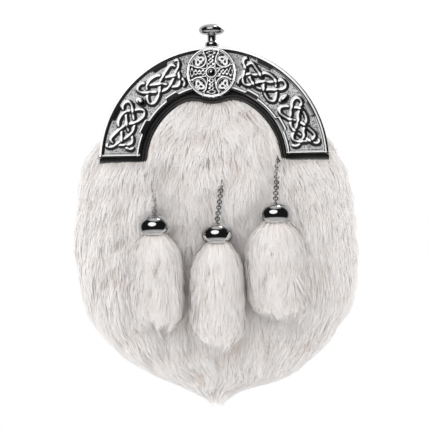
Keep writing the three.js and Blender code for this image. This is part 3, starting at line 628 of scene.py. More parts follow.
def badge_height(x, z):
    """How far forward the badge's face comes: a rim, a flared cross with plaits, and four leafed hollows."""
    r = np.hypot(x, z)
    height = np.full(x.shape, 22.62)
    arm = np.maximum(np.abs(x), np.abs(z))
    across = np.where(np.abs(x) > np.abs(z), z, x)
    swing = 1.1 + 0.066 * (arm - 8) ** 2
    for sign in (-1, 1):
        over = 0.16 * sign * np.cos(arm * 1.32 + 0.6)
        strand = raised_line(across - sign * swing * np.sin(arm * 1.32 + 0.6), 0.95)
        height = np.maximum(height, 22.62 + (0.66 + over) * strand)
    reach = 2.5 + 0.026 * np.maximum(arm - 4, 0) ** 2
    height = np.maximum(height, 22.5 + 0.8 * raised_line(np.abs(across) - reach, 0.5))
    to_hollow = np.hypot(np.abs(x) - 8.5, np.abs(z) - 8.5)
    height = np.maximum(height, 22.5 + 0.9 * raised_line(to_hollow - 5.3, 0.7))
    turn = np.arctan2(np.abs(z) - 8.5, np.abs(x) - 8.5) - math.pi / 4
    leaf = raised_line(to_hollow - (2.4 + 1.0 * np.cos(3 * turn)), 0.8)
    vein = raised_line(to_hollow * np.sin(turn), 0.4) * (to_hollow < 3.2)
    floor = 21.75 + 0.68 * np.maximum(leaf, vein)
    sunk = np.clip((4.62 - to_hollow) / 0.2, 0, 1)
    height = height * (1 - sunk) + floor * sunk
    between = np.clip((np.abs(across) - reach - 0.4) / 0.2, 0, 1)
    groove = np.clip(1 - np.abs(r - 14.35) / 0.5, 0, 1) * between
    height = height - np.maximum(height - 22.6, 0) * np.minimum(groove * 2, 1)
    rim = np.clip((r - 14.5) / 0.2, 0, 1) * between
    roll = np.maximum(0.75 * raised_line(r - 15.9, 0.7), 0.6 * raised_line(r - 14.95, 0.3))
    height = height * (1 - rim) + (22.55 + roll) * rim
    pad = np.clip((r - 14.6) / 0.15, 0, 1) * np.clip((16.4 - r) / 0.15, 0, 1) * (np.abs(across) < reach)
    height = height * (1 - pad) + 23.2 * pad
    height = np.where(r < 4.1, 22.55, height)
    height = np.maximum(height, np.where(r < 4.1, 22.55 + 0.8 * raised_line(r - 3.3, 0.72), 0))
    return np.where(r < 2.4, 22.55 + 2.7 * raised_line(r, 2.4), height)


def badge():
    """The badge's face, as a square grid drawn out to a disc, and its side."""
    steps = 152
    u, v = np.meshgrid(np.linspace(-1, 1, steps), np.linspace(-1, 1, steps), indexing="ij")
    x = BOSS_RADIUS * u * np.sqrt(1 - v**2 / 2)
    z = BOSS_RADIUS * v * np.sqrt(1 - u**2 / 2)
    face = np.stack([x, badge_height(x, z), BOSS_HEIGHT + z], -1)
    loop = np.concatenate([face[:-1, 0], face[-1, :-1], face[:0:-1, -1], face[0, :0:-1]])
    side = np.stack([np.stack([loop[:, 0], np.full(len(loop), depth), loop[:, 2]], -1) for depth in (22.4, 21.4, 20.5)])
    index = np.arange(steps * steps).reshape(steps, steps)
    edge = np.concatenate([index[:-1, 0], index[-1, :-1], index[:0:-1, -1], index[0, :0:-1]])
    start = steps * steps
    rows = [edge] + [start + k * len(loop) + np.arange(len(loop)) for k in range(3)]
    walls = [np.stack([a, np.roll(a, -1), np.roll(b, -1), b], 1) for a, b in zip(rows, rows[1:])]
    points = np.concatenate([face.reshape(-1, 3), side.reshape(-1, 3)])
    return points, [grid_faces(steps, steps)[:, ::-1], *walls, rows[-1][None]]


made("cross_badge", [badge()], BADGE, ["cross_boss"])

# The knob

knob_head = [(0.5, 14.6), (2.8, 14.45), (5.2, 13.95), (7.1, 13.0), (8.2, 11.7), (8.3, 10.5), (7.8, 9.3), (6.4, 8.4), (4.7, 8.0), (3.5, 7.8)]
knob_profile = np.concatenate([
    [(0.02, 14.6)], even_run(knob_head, 0.4), [(3.0, 7.5), (2.85, 7.1), (2.8, 6.0), (2.8, 4.0), (2.9, 3.1), (3.4, 2.8)],
    [(4.1, 2.55), (4.35, 2.1), (4.4, 1.4), (4.4, 0.3), (4.25, 0.05), (0.02, 0.0)],
])
made("knob", [turned(knob_profile[::-1], (0, 16.5, 76.4), 56)], CHROME, ["plunger"])

# Leather behind the arch, with a rolled edge along its inner side

inner_edge = smooth_table([(0, 44.1), (50, 44.1), (60, 44.1), (66, 43.85), (72, 43.0), (78, 41.25), (84, 39.3), (90, 38.6), (96, 39.3)])


def backing():
    degrees = np.concatenate([np.linspace(0, 4, 17), np.linspace(4.75, 175.25, 228), np.linspace(176, 180, 17)])
    upward = np.minimum(degrees, 180 - degrees)
    (inner,) = inner_edge(upward)
    one = np.ones(len(degrees))
    outer = 74.0 + 2.0 * np.clip((2.8 - upward) / 0.25, 0, 1)
    run = [
        (inner + 0.3, 14.35), (inner + 0.05, 14.6), (inner, 15.3), (inner + 0.1, 16.0), (inner + 0.45, 16.55),
        (inner + 0.8, 16.95), (inner + 1.15, 17.12), (inner + 1.5, 17.0), (inner + 1.9, 16.6), (inner + 2.3, 16.5),
        (inner + 2.7, 16.75), (inner + 3.1, 17.1), (inner + 3.4, 17.0), (inner + 3.8, 16.75), (60.0 * one, 16.9), (outer - 0.4, 16.9),
        (outer, 16.7), (outer, 14.5), (outer - 0.3, 14.35),
    ]
    rings = []
    for radius, depth in run:
        foot = np.degrees(np.arcsin(0.5 / radius))
        points = on_arch(foot + degrees / 180 * (180 - 2 * foot), radius, np.full(len(degrees), depth))
        if depth > 16.4:
            points[:, 1] += 0.32 * raised_line(points[:, 2] - 1.2, 0.5)
        rings.append(points)
    points = np.stack(rings, 1)
    rows, columns = points.shape[:2]
    return points.reshape(-1, 3), [grid_faces(rows, columns, round_columns=True), *end_faces(rows, columns)]


made("arch_leather", [backing()], EDGE_LEATHER, ["cantle_backing"])

# The pouch's leather

# Columns: the level and the pouch's half width there; above its shoulders the outline is round
POUCH_RADIUS = 73.0
SHOULDER = 22.0
pouch_table = smooth_table([
    (34, 64.6), (22, 69.6), (10, 73.2), (-2, 75.6), (-20, 80.4), (-38, 83.4), (-55, 84.5), (-72, 83.8), (-88, 80.6), (-100, 75.4),
    (-112, 67.2), (-121, 57.6), (-128, 45.6), (-134, 30.0), (-137.5, 17.0), (-139, 8.0),
])
BACK_THICKNESS = 2.2


def pouch_half(level):
    level = np.asarray(level, float)
    round_part = np.sqrt(np.maximum(POUCH_RADIUS**2 - level**2, 0))
    return np.where(level > SHOULDER, round_part, pouch_table(level)[0])


def pouch_outline(inset, top=72.0):
    """The pouch's outline from the top left round the bottom to the top right, drawn in by an inset."""
    levels = np.concatenate([top * np.cos(np.linspace(0, 1.25, 24)), np.linspace(top * math.cos(1.25) - 1.5, -120, 50)])
    levels = np.concatenate([levels, -120 - 19 * np.sin(np.linspace(0.08, math.pi / 2, 16))])
    left = np.stack([-pouch_half(levels), levels], 1)
    run = np.concatenate([left, [(0, -139.2)], left[::-1] * (-1, 1)])
    lengths = np.concatenate([[0], np.cumsum(np.linalg.norm(np.diff(run, axis=0), axis=1))])
    even = np.linspace(0, lengths[-1], int(lengths[-1] / 2.6) | 1)
    run = np.stack([np.interp(even, lengths, run[:, axis]) for axis in range(2)], 1)
    run[2:-2] = (run[:-4] + 2 * run[1:-3] + 3 * run[2:-2] + 2 * run[3:-1] + run[4:]) / 9
    along = unit(np.gradient(run, axis=0))
    return run + np.stack([-along[:, 1], along[:, 0]], 1) * inset


def stitches(path, length=2.3, gap=1.2, thread=0.3):
    """A row of stitches: short rounded bars along a path of points in x, depth and z."""
    lengths = np.concatenate([[0], np.cumsum(np.linalg.norm(np.diff(path, axis=0), axis=1))])
    count = int(lengths[-1] / (length + gap))
    parts = []
    for k in range(count):
        places = (k + 0.5) * lengths[-1] / count + np.array([-0.5, -0.3, 0.3, 0.5]) * length
        middle = np.stack([np.interp(places, lengths, path[:, axis]) for axis in range(3)], 1)
        way = unit(middle[-1] - middle[0])
        across = unit(np.cross(way, [0, 1.0, 0]))
        size = np.array([0.2, 1, 1, 0.2]) * thread
        angles = np.arange(5) * math.pi / 2.5
        ring = np.cos(angles)[:, None] * across + np.sin(angles)[:, None] * np.array([0, 1.0, 0])
        points = middle[:, None] + ring * size[:, None, None]
        parts.append((points.reshape(-1, 3), [grid_faces(4, 5, round_columns=True), *end_faces(4, 5)]))
    return parts


def back_leather():
    """The flat back of the pouch: one piece of leather with a rounded cut edge."""
    run = [(9.0, 0.06), (5.2, 0.0), (4.4, 0.16), (3.6, 0.0), (1.0, 0.02), (0.45, 0.14), (0.12, 0.45), (0, 0.9), (0, 1.5),
           (0.2, 1.95), (0.7, BACK_THICKNESS)]
    rings = [np.insert(pouch_outline(inset), 1, depth, axis=1) for inset, depth in run]
    points = np.stack(rings, 1)
    rows, columns = points.shape[:2]
    faces = [grid_faces(rows, columns, round_rows=True), (np.arange(rows) * columns)[None], (np.arange(rows) * columns + columns - 1)[None]]
    return points.reshape(-1, 3), faces


def gusset_leather():
    """The strip on edge between the back and the front of the pouch, bowed out a little along its middle."""
    run = [(3.6, 2.5), (2.2, 2.5), (1.75, 4.2), (1.55, 7.2), (1.75, 10.2), (2.2, 11.9), (3.6, 11.9), (3.2, 7.2)]
    rings = [np.insert(pouch_outline(inset, 20.0), 1, depth, axis=1) for inset, depth in run]
    points = np.stack(rings, 1)
    rows, columns = points.shape[:2]
    return points.reshape(-1, 3), [grid_faces(rows, columns, round_columns=True), *end_faces(rows, columns)]


# A strap loop. Columns: the height over its middle and how far its centre line stands off the back
LOOP_LINE = [(30, 1.4), (26, 1.4), (22.5, 1.45), (20.6, 2.5), (18.9, 5.0), (16.8, 6.8), (13, 7.3), (6, 7.4), (0, 7.4)]
LOOP_WIDTH = 18.0
LOOP_THICKNESS = 2.2
LOOP_SPREAD = 45.0
LOOP_ROUND = 25.0


def strap_loop(x):
    """A leather strip sewn down at both ends and bowed out between them, with rounded edges."""
    line = np.array(LOOP_LINE + [(-level, off) for level, off in LOOP_LINE[-2::-1]], float)
    path = even_run(line, 0.8)
    along = unit(np.gradient(path, axis=0))
    out = np.stack([-along[:, 1], along[:, 0]], 1)
    half, thick, round_off = LOOP_WIDTH / 2, LOOP_THICKNESS / 2, 0.7
    section = [(half - round_off, thick), (half - 0.2, thick - 0.2), (half, thick - round_off)]
    section += [(a, -b) for a, b in section[::-1]]
    section += [(-a, b) for a, b in section[::-1]]
    section = np.array(section)
    # Each end is rounded off, with the radius of its corners
    taper = np.sqrt(np.clip(1 - (np.maximum(np.abs(path[:, 0]) - LOOP_ROUND, 0) / (30.2 - LOOP_ROUND)) ** 2, 0.02, 1))
    points = np.zeros((len(path), len(section), 3))
    points[..., 0] = x + section[:, 0] * (0.45 + 0.55 * taper[:, None])
    points[..., 1] = -(path[:, 1, None] + out[:, 1, None] * section[:, 1])
    points[..., 2] = STRAP_HEIGHT + path[:, 0, None] + out[:, 0, None] * section[:, 1]
    rows, columns = points.shape[:2]
    parts = [(points.reshape(-1, 3), [grid_faces(rows, columns, round_columns=True), *end_faces(rows, columns)])]
    return parts


def loop_thread(x):
    """The box of stitches that holds each end of a strap loop."""
    parts = []
    for end in (-1, 1):
        low, high = STRAP_HEIGHT + end * 22.8, STRAP_HEIGHT + end * 28.2
        corners = [(x - 7, low), (x + 7, low), (x + 5.6, high), (x - 5.6, high), (x - 7, low)]
        for (x0, z0), (x1, z1) in zip(corners, corners[1:]):
            share = np.linspace(0, 1, 12)[:, None]
            side = np.array([[x0, -2.55, z0]]) * (1 - share) + np.array([[x1, -2.55, z1]]) * share
            parts += stitches(side, 1.7, 0.9, 0.24)
    return parts


made("back_leather", [back_leather()], LEATHER, ["back_panel"])
made("gusset_leather", [gusset_leather()], LEATHER, ["gusset"])
made("strap_loop_of_left", strap_loop(-LOOP_SPREAD), LEATHER, ["strap_loop_left"])
made("strap_loop_of_right", strap_loop(LOOP_SPREAD), LEATHER, ["strap_loop_right"])
edge_thread = stitches(np.insert(pouch_outline(4.4), 1, -0.02, axis=1))
made("back_thread", edge_thread + loop_thread(-LOOP_SPREAD) + loop_thread(LOOP_SPREAD), THREAD)
front_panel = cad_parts["front_panel"]
front_panel.data.materials.clear()
front_panel.data.materials.append(LEATHER)

# Chains, bells and eyes

TASSELS = [
    dict(name="left", top=(-41, 24.6, -2.5), bell=(-37.1, 39.6, -41.2), length=58, half=18.6, deep=12, lean=2.5,
         hollows=[((3.0, 12.5), (2.2, 4.5), 1.0), ((-4.0, 29.0), (2.6, 4.0), 0.5)]),
    dict(name="middle", top=(6.0, 27.6, -14.5), bell=(3.7, 40.6, -46.9), length=64.5, half=18, deep=12, lean=0,
         hollows=[((-4.5, 12.0), (2.4, 4.0), 0.9), ((-6.0, 27.0), (2.0, 6.0), 0.5)]),
    dict(name="right", top=(42.6, 24.6, 0.6), bell=(41.5, 39.4, -34.4), length=61, half=21, deep=12.5, lean=4,
         hollows=[((4.0, 21.0), (3.5, 5.0), 0.45), ((-8.0, 32.0), (2.5, 6.0), 0.35)]),
]
LINK_RADIUS = 1.35
WIRE = 0.46
SHORTEST_PITCH = 1.97
LINK_BITE = 0.18
EYE_RADIUS = 1.8
EYE_WIRE = 0.45
EYE_PLAY = 0.5


def hang(tassel):
    """A tassel's chain, eye, and bell with its own eye, in wire rings that hang in each other."""
    top = np.array(tassel["top"], float)
    bell = np.array(tassel["bell"], float)
    eye = bell + (0, 0, 8.6)
    along = top - eye
    span = np.linalg.norm(along)
    along = along / span
    count = int(span / SHORTEST_PITCH)
    pitch = span / count
    half = (pitch + 2 * WIRE - LINK_BITE) / 2
    links = []
    for i in range(count):
        centre = top - along * pitch * (i + 0.5)
        links.append(wire_ring(centre, along, (i % 2) * math.pi / 2, LINK_RADIUS, WIRE, 2 * (half - LINK_RADIUS), 24, 8))
    name = tassel["name"]
    made(f"chain_of_{name}", links, STEEL, [f"chain_{name}"])

    bar = half - pitch / 2
    centre = top + along * (bar + EYE_RADIUS - EYE_WIRE - WIRE - EYE_PLAY)
    ring = wire_ring(centre, (0, 0, 1), math.pi / 2, EYE_RADIUS, EYE_WIRE, 0)
    back = centre[1] - EYE_RADIUS - 4.5
    post = turned([(0.02, back), (0.8, back), (0.8, centre[1] - EYE_RADIUS + 0.2), (0.02, centre[1] - EYE_RADIUS + 0.3)],
                  (centre[0], 0, centre[2]), 16, "forward")
    made(f"eye_of_{name}", [ring, post], STEEL, [f"eyelet_{name}"])

    outer = even_run([(0.4, 7.2), (3.0, 6.95), (5.8, 6.05), (8.4, 4.35), (10.1, 2.0), (10.7, -0.5), (10.5, -2.6), (9.75, -4.4), (8.95, -5.5)], 0.5)
    lip = [(8.75, -5.75), (8.5, -6.0), (8.2, -6.0), (8.1, -5.6), (8.8, -3.6), (9.1, -1.0), (7.2, 2.9), (0.02, 4.8)]
    profile = np.concatenate([[(0.02, 7.2)], outer, lip])
    ring_centre = eye - along * (bar + EYE_RADIUS - EYE_WIRE - WIRE - EYE_PLAY)
    ring = wire_ring(ring_centre, along, (count % 2) * math.pi / 2, EYE_RADIUS, EYE_WIRE, 0)
    dome_points, dome_faces = turned(profile, bell, 56)
    made(f"bell_of_{name}", [(dome_points, dome_faces), ring], CHROME, [f"bell_{name}"])


for tassel in TASSELS:
    hang(tassel)

# Hair

NODES = np.array([0.0, 0.22, 0.48, 0.75, 1.0])
THICKNESS = np.array([0.8, 1.0, 0.95, 0.62])


def grown(name, spots, away, width, tones, stands_for=(), start_tone=0.0, tilt=0.16):
    """Hairs as thin tapering ribbons. `spots` holds each hair's five points, `away` the way out from the skin."""
    along = unit(np.gradient(spots, axis=1))
    across = unit(np.cross(along, away))
    roll = rng.normal(0, 0.45, (len(spots), 1, 1))
    across = across * np.cos(roll) + away * np.sin(roll)
    reach = across[:, :4] * (width[:, None, None] * THICKNESS[None, :, None] / 2)
    left = spots[:, :4] - reach
    right = spots[:, :4] + reach
    points = np.concatenate([np.stack([left, right], 2).reshape(len(spots), 8, 3), spots[:, 4:5]], 1)
    start = np.arange(len(spots))[:, None] * 9
    quads = np.concatenate([start + np.array([k, k + 2, k + 3, k + 1]) for k in (0, 2, 4)])
    tips = start + np.array([6, 8, 7])
    share = start_tone + (1 - start_tone) * np.repeat(NODES, [2, 2, 2, 2, 1])
    uv = np.stack(np.broadcast_arrays(np.clip(tones, 0.01, 0.99)[:, None], 0.02 + 0.96 * share[None]), -1)
    piece = made(name, [(points.reshape(-1, 3), [quads, tips])], HAIR, stands_for, uv.reshape(-1, 2))
    # The light runs over the coat as over one soft surface, with a little of each hair's own tilt
    own = np.cross(across, along)[:, :4]
    own = own * np.sign(np.sum(own * away[:, :4], -1, keepdims=True))
    soft = unit(away[:, :4] + tilt * own)
    normals = np.concatenate([np.repeat(soft, 2, axis=1), away[:, 4:5]], 1).reshape(-1, 3)
    normals = np.stack([normals[:, 0], -normals[:, 1], normals[:, 2]], 1)
    piece.data.normals_split_custom_set_from_vertices(normals.tolist())
    return piece


def drift(first, second, scale, seed):
    """Soft noise over a surface, from a few crossed waves, about -1 to 1."""
    waves = np.random.default_rng(seed)
    total = 0
    for k in range(7):
        way = waves.uniform(0, 2 * math.pi)
        pace = waves.uniform(0.55, 1.7) / scale
        turn = waves.uniform(0, 2 * math.pi)
        total = total + np.sin(2 * math.pi * pace * (first * math.cos(way) + second * math.sin(way)) + turn)
    return total / 2.6


def gathered(first, second, spacing, seed):
    """For each root, its nearest lock among evenly scattered ones: the lock's place and its number."""
    own = np.random.default_rng(seed)
    low_first, low_second = first.min() - spacing, second.min() - spacing
    columns = int((first.max() - low_first) / spacing) + 2
    rows = int((second.max() - low_second) / spacing) + 2
    shift = own.uniform(0.08, 0.92, (rows, columns, 2))
    i = ((second - low_second) / spacing).astype(int)
    j = ((first - low_first) / spacing).astype(int)
    best = np.full(len(first), 1e9)
    place = np.zeros((len(first), 2))
    number = np.zeros(len(first), int)
    for di in (-1, 0, 1):
        for dj in (-1, 0, 1):
            row = np.clip(i + di, 0, rows - 1)
            column = np.clip(j + dj, 0, columns - 1)
            spot_first = low_first + (column + shift[row, column, 0]) * spacing
            spot_second = low_second + (row + shift[row, column, 1]) * spacing
            distance = (spot_first - first) ** 2 + (spot_second - second) ** 2
            closer = distance < best
            best = np.where(closer, distance, best)
            place[closer] = np.stack([spot_first, spot_second], 1)[closer]
            number = np.where(closer, row * columns + column, number)
    return place, number


def own_values(number, seed, low, high):
    """A value of its own for each lock."""
    table = np.random.default_rng(seed).uniform(low, high, number.max() + 1)
    return table[number]


# The coat

# Columns: the level, the outline's reach to the left and to the right, and how far forward the middle comes
FUR_TABLE = [
    (48, 26, 26, 14.2), (44, 36, 36, 15.5), (32, 57, 57, 19.5), (20, 72.5, 71, 22.4), (12, 82.5, 79.0, 24.2), (6, 87, 82.6, 25.4),
    (0, 90.3, 85.4, 26.6), (-8, 93.2, 88.5, 28.2), (-16, 94.4, 90.5, 29.4), (-25, 95.2, 91.8, 30.4), (-40, 96.2, 93.9, 31.7),
    (-55, 96.8, 94.6, 32.6), (-70, 95.6, 94.2, 32.9), (-85, 93.3, 93.3, 33.0), (-95, 90.6, 91, 32.0), (-103, 87.2, 86.7, 30.8),
    (-110, 82.4, 81.6, 29.4), (-118, 76, 76.2, 27.8), (-126, 68.4, 68.6, 25.7), (-134, 57.4, 59, 23.4), (-140, 47.4, 52.2, 21.0),
    (-146, 33.6, 40, 18.6), (-151, 21.3, 20, 16.4), (-156, 12.4, 9, 14.2), (-160, 8.5, 5.0, 12.8), (-168, 5.5, 2.4, 11),
]
FUR_BACK = 3.6
# Where the coat lies parted, its hair painted darker as painted shade: the place, its reach across and down, and how
# deep it is
HOLLOWS = [
    ((8, -117), (9, 5), 0.9), ((-12, -88), (7, 9), 0.8), ((24, -106), (12, 5), 0.5), ((-30, -106), (10, 6), 0.5),
    ((-20, 8), (5, 14), 0.4), ((14, -2), (5, 12), 0.4), ((-62, -46), (7, 12), 0.35), ((66, -62), (6, 14), 0.35),
    ((-48, -118), (12, 7), 0.45), ((52, -110), (14, 6), 0.35), ((26, 16), (4, 12), 0.35),
]
SKIN_INSET = 6.0
POUCH_FACE = 14.0
coat_table = smooth_table(FUR_TABLE)


def coat_half(level):
    left, right, _ = coat_table(level)
    return (left + right) / 2


def coat_spot(turn, level, lift):
    """A place on the coat: turn runs round it from edge to edge, and lift is 0 at the skin and 1 outside."""
    left, right, front = coat_table(level)
    half = np.maximum((left + right) / 2 - SKIN_INSET * (1 - lift), 0.8)
    front = front - SKIN_INSET * (1 - lift)
    across = np.sin(turn)
    depth = FUR_BACK + (front - FUR_BACK) * np.maximum(1 - np.abs(across) ** 3.2, 0) ** 0.45
    return np.stack([(right - left) / 2 + half * across, depth, level], -1)


def coat_roots(count):
    """Roots spread evenly over the coat, as turn and level, with its rounded sides counted in full."""
    turns = np.linspace(-1.54, 1.54, 200)
    levels = np.linspace(47, -153, 180)
    t, v = np.meshgrid(turns, levels, indexing="ij")
    spots = coat_spot(t, v, 0.0)
    across = np.gradient(spots, axis=0)
    down = np.gradient(spots, axis=1)
    area = np.linalg.norm(np.cross(across, down), axis=-1)
    weight = (area / area.sum()).reshape(-1)
    chosen = rng.choice(len(weight), count, p=weight)
    i, j = np.unravel_index(chosen, area.shape)
    turn = turns[i] + rng.uniform(-0.5, 0.5, count) * (turns[1] - turns[0])
    level = levels[j] + rng.uniform(-0.5, 0.5, count) * (levels[0] - levels[1])
    return turn, level


def grow_coat(count):
    turn, level = coat_roots(count)
    root = coat_spot(turn, level, 0.0)
    x, z = root[:, 0], root[:, 2]
    radius = np.hypot(x, z)
    (edge,) = inner_edge(np.degrees(np.arctan2(z, np.abs(x))).clip(0, 90))
    hidden = (z > 11) & (radius > edge + 9) & (radius < 60)
    hidden |= (z > 32) & (radius > 58)
    keep = ~hidden
    for tassel in TASSELS:
        bell = tassel["bell"]
        under = (np.abs(x - bell[0]) < tassel["half"] * 0.7) & (z < bell[2] - 16) & (z > bell[2] - 7 - tassel["length"] * 0.75)
        keep &= ~(under & (rng.random(count) < 0.6))
    turn, level, x = turn[keep], level[keep], x[keep]
    # Locks are laid out by distance over the skin, across and down
    side = np.sign(turn) * (np.abs(x) + 14 * (np.abs(turn) / 1.57) ** 6)
    place, number = gathered(side, level, 3.6, 5)
    _, big_number = gathered(side, level, 11.0, 6)
    half = coat_half(level)
    clump_level = place[:, 1]
    clump_turn = turn + (place[:, 0] - side) / np.maximum(half * np.cos(turn), 9.0)

    length = 19.0 + 3.0 * drift(side, level, 40, 3) + own_values(number, 21, -1.5, 1.5)
    length *= np.clip((level + 175) / 60, 0.5, 1)
    length *= np.where(level > 5, 0.8, 1.0)
    own_length = length * rng.uniform(0.7, 1.08, len(turn))
    lean = 0.22 * drift(side, level, 36, 8) + own_values(number, 22, -0.09, 0.09) + own_values(big_number, 23, -0.12, 0.12)
    lean += rng.normal(0, 0.05, len(turn))
    calm = 1 - 0.55 * np.sin(turn) ** 2
    bend = own_values(number, 24, -0.16, 0.16) + rng.normal(0, 0.06, len(turn))
    swell = 0.3 * drift(side, level, 26, 9)
    tip_lift = 0.8 + calm * (swell + own_values(number, 25, -0.09, 0.09) + own_values(big_number, 26, -0.08, 0.08))
    hollow = sum(deep * np.exp(-(((x - at[0]) / size[0]) ** 2) - ((level - at[1]) / size[1]) ** 2) for at, size, deep in HOLLOWS)
    tip_lift += rng.normal(0, 0.06, len(turn)) - 0.35 * hollow
    pull = calm * own_values(number, 27, 0.15, 0.6)

    spots = np.zeros((len(turn), len(NODES), 3))
    away = np.zeros_like(spots)
    for k, share in enumerate(NODES):
        fall = own_length * share
        sideways = fall * (lean + bend * share)
        at_level = level - fall * (1 - 0.25 * (lean + bend * share) ** 2)
        drawn = pull * share**1.15
        at_level = at_level + (clump_level - level) * drawn * 0.6
        at_turn = turn + (clump_turn - turn) * drawn
        at_turn = at_turn + sideways * np.cos(turn) ** 2 / np.maximum(half * np.cos(turn), 6.0)
        gone = np.clip((-95 - at_level) / 30, 0, 1)
        shrunk = np.clip((half - coat_half(at_level)) / np.maximum(half, 6), 0, 0.6)
        at_turn = at_turn + 0.45 * gone * np.sin(turn) * np.cos(turn) * shrunk
        at_turn = np.clip(at_turn, -1.565, 1.565)
        lift = np.minimum(tip_lift, 1.06) * (1 - (1 - share) ** 2.2) + 0.02
        spots[:, k] = coat_spot(at_turn, at_level, lift)
        outward = unit(coat_spot(at_turn, at_level, lift + 0.3) - coat_spot(at_turn, at_level, lift - 0.3))
        toward_front = 0.9 + 0.8 * np.clip((np.abs(at_turn) - 1.2) / 0.37, 0, 1)
        away[:, k] = unit(outward + toward_front[:, None] * (0, 1, 0))
    spots = over_the_chains(under_the_arch(spots))
    # Painted shade and light in the tone: darker in patches, in the hollows and between the swells, lighter on the
    # swells; the rest varies at random
    painted_shade_patch = np.clip(drift(side, level, 16, 31) - 0.75, 0, 1)
    tones = 0.72 + 0.1 * drift(side, level, 22, 12) + 0.35 * swell - 0.5 * painted_shade_patch - 0.5 * hollow
    tones += own_values(number, 28, -0.13, 0.12) + rng.normal(0, 0.08, len(turn))
    width = rng.uniform(0.24, 0.36, len(turn))
    order = rng.permutation(len(turn))
    for k, batch in enumerate(np.array_split(order, 4)):
        stands_for = ["fur_pelt"] if k == 0 else ()
        grown(f"coat_hair_{k + 1}", spots[batch], away[batch], width[batch], tones[batch], stands_for=stands_for)


def under_the_arch(spots):
    """The arch presses the coat down: hair runs out from under the edge of its leather."""
    x, depth, z = spots[..., 0], spots[..., 1], spots[..., 2]
    radius = np.hypot(x, z)
    (edge,) = inner_edge(np.degrees(np.arctan2(z, np.abs(x))).clip(0, 90))
    below = 0.3 - z
    outward = radius - 76.2
    clear = np.where(z > 0.3, np.maximum(edge - radius, outward), np.maximum(below, np.maximum(edge - radius, outward)))
    limit = 13.8 + 4.8 * np.sqrt(np.maximum(clear, 0)) + 0.6 * np.maximum(clear, 0)
    depth = np.minimum(depth, limit)
    over_pouch = (z > 5) & (edge - radius > 0)
    spots[..., 1] = np.where(over_pouch, np.maximum(depth, POUCH_FACE + 0.25), depth)
    return spots


def over_the_chains(spots):
    """Hair stands up round the top of each chain and falls over its first links."""
    for tassel, reach, rise in zip(TASSELS, (29, 4, 13), (14.5, 2.0, 7.0)):
        x, z = tassel["top"][0], tassel["top"][2]
        beside = np.exp(-(((spots[..., 0] - x - 1) / 7) ** 2))
        below = np.clip((z + 6 - spots[..., 2]) / 6, 0, 1) * np.clip((spots[..., 2] - z + reach + 5) / 5, 0, 1)
        spots[..., 1] += rise * beside * below * np.clip(0.45 + 0.55 * (z - spots[..., 2]) / reach, 0.45, 1) * NODES
    return spots


def skin():
    """The hide under the hair."""
    turns = np.linspace(-1.565, 1.565, 73)
    levels = np.concatenate([np.linspace(48, -145, 72), [-149, -152, -154]])
    t, v = np.meshgrid(turns, levels, indexing="ij")
    spots = under_the_arch(coat_spot(t, v, 0.02))
    rows, columns = spots.shape[:2]
    return spots.reshape(-1, 3), [grid_faces(rows, columns)]


def hide_edge(side):
    """The edge of the hide, turned in behind the hair as far as the pouch's own outline."""
    levels = np.concatenate([np.linspace(17, -139, 60), np.linspace(-140.5, -154, 8), np.full(8, -154.0)])
    turns = np.concatenate([np.full(68, 1.565), np.linspace(1.4, 0, 8)])
    outer = coat_spot(turns * side, levels, 0.02)
    inner = np.stack([side * (pouch_half(np.maximum(levels, -139)) + 0.5), np.full(len(levels), 4.0), np.maximum(levels, -139.5)], 1)
    inner[:, 0] *= np.clip((levels + 154) / 15, 0, 1)
    outer[:68, 0] = side * np.maximum(side * outer[:68, 0], side * inner[:68, 0] + 0.4)
    wall = inner + (0, 7.5, 0)
    rings = [wall, inner]
    for share, rise in ((0.12, -0.3), (0.35, -0.5), (0.65, -0.5), (0.88, -0.25)):
        rings.append(inner * (1 - share) + outer * share + (0, rise, 0))
    rings.append(outer)
    points = np.stack(rings, 1)
    return points.reshape(-1, 3), [grid_faces(*points.shape[:2])]


made("coat_skin", [skin()], UNDERWOOL)
made("hide_edge", [hide_edge(-1), hide_edge(1)], UNDERWOOL)
grow_coat(79000)

# Tassel hair

TASSEL_TABLE = [
    (-0.03, 0.42), (0, 0.48), (0.05, 0.65), (0.11, 0.8), (0.21, 0.93), (0.4, 1.0), (0.66, 1.0), (0.84, 0.95), (0.94, 0.8),
    (1.0, 0.6), (1.08, 0.4),
]
tassel_table = smooth_table(TASSEL_TABLE)
TASSEL_INSET = 3.6


def tassel_spot(tassel, turn, share, lift):
    """A place on a tassel: turn runs round it, and share runs down from the mouth of its bell."""
    bell = tassel["bell"]
    (width,) = tassel_table(share)
    inset = TASSEL_INSET * (1 - lift) * np.clip(share / 0.35, 0.12, 1)
    half = np.maximum(tassel["half"] * width - inset, 0.5)
    deep = np.maximum(tassel["deep"] * np.minimum(1, width + 0.1) - inset, 0.5)
    settle = 5.4 * (1 - (1 - np.clip(share, 0, 1)) ** 3)
    x = bell[0] + tassel["lean"] * share**2 + half * np.cos(turn)
    depth = bell[1] + settle + deep * np.sin(turn)
    return np.stack([x, depth, bell[2] - 6.4 - tassel["length"] * share], -1)


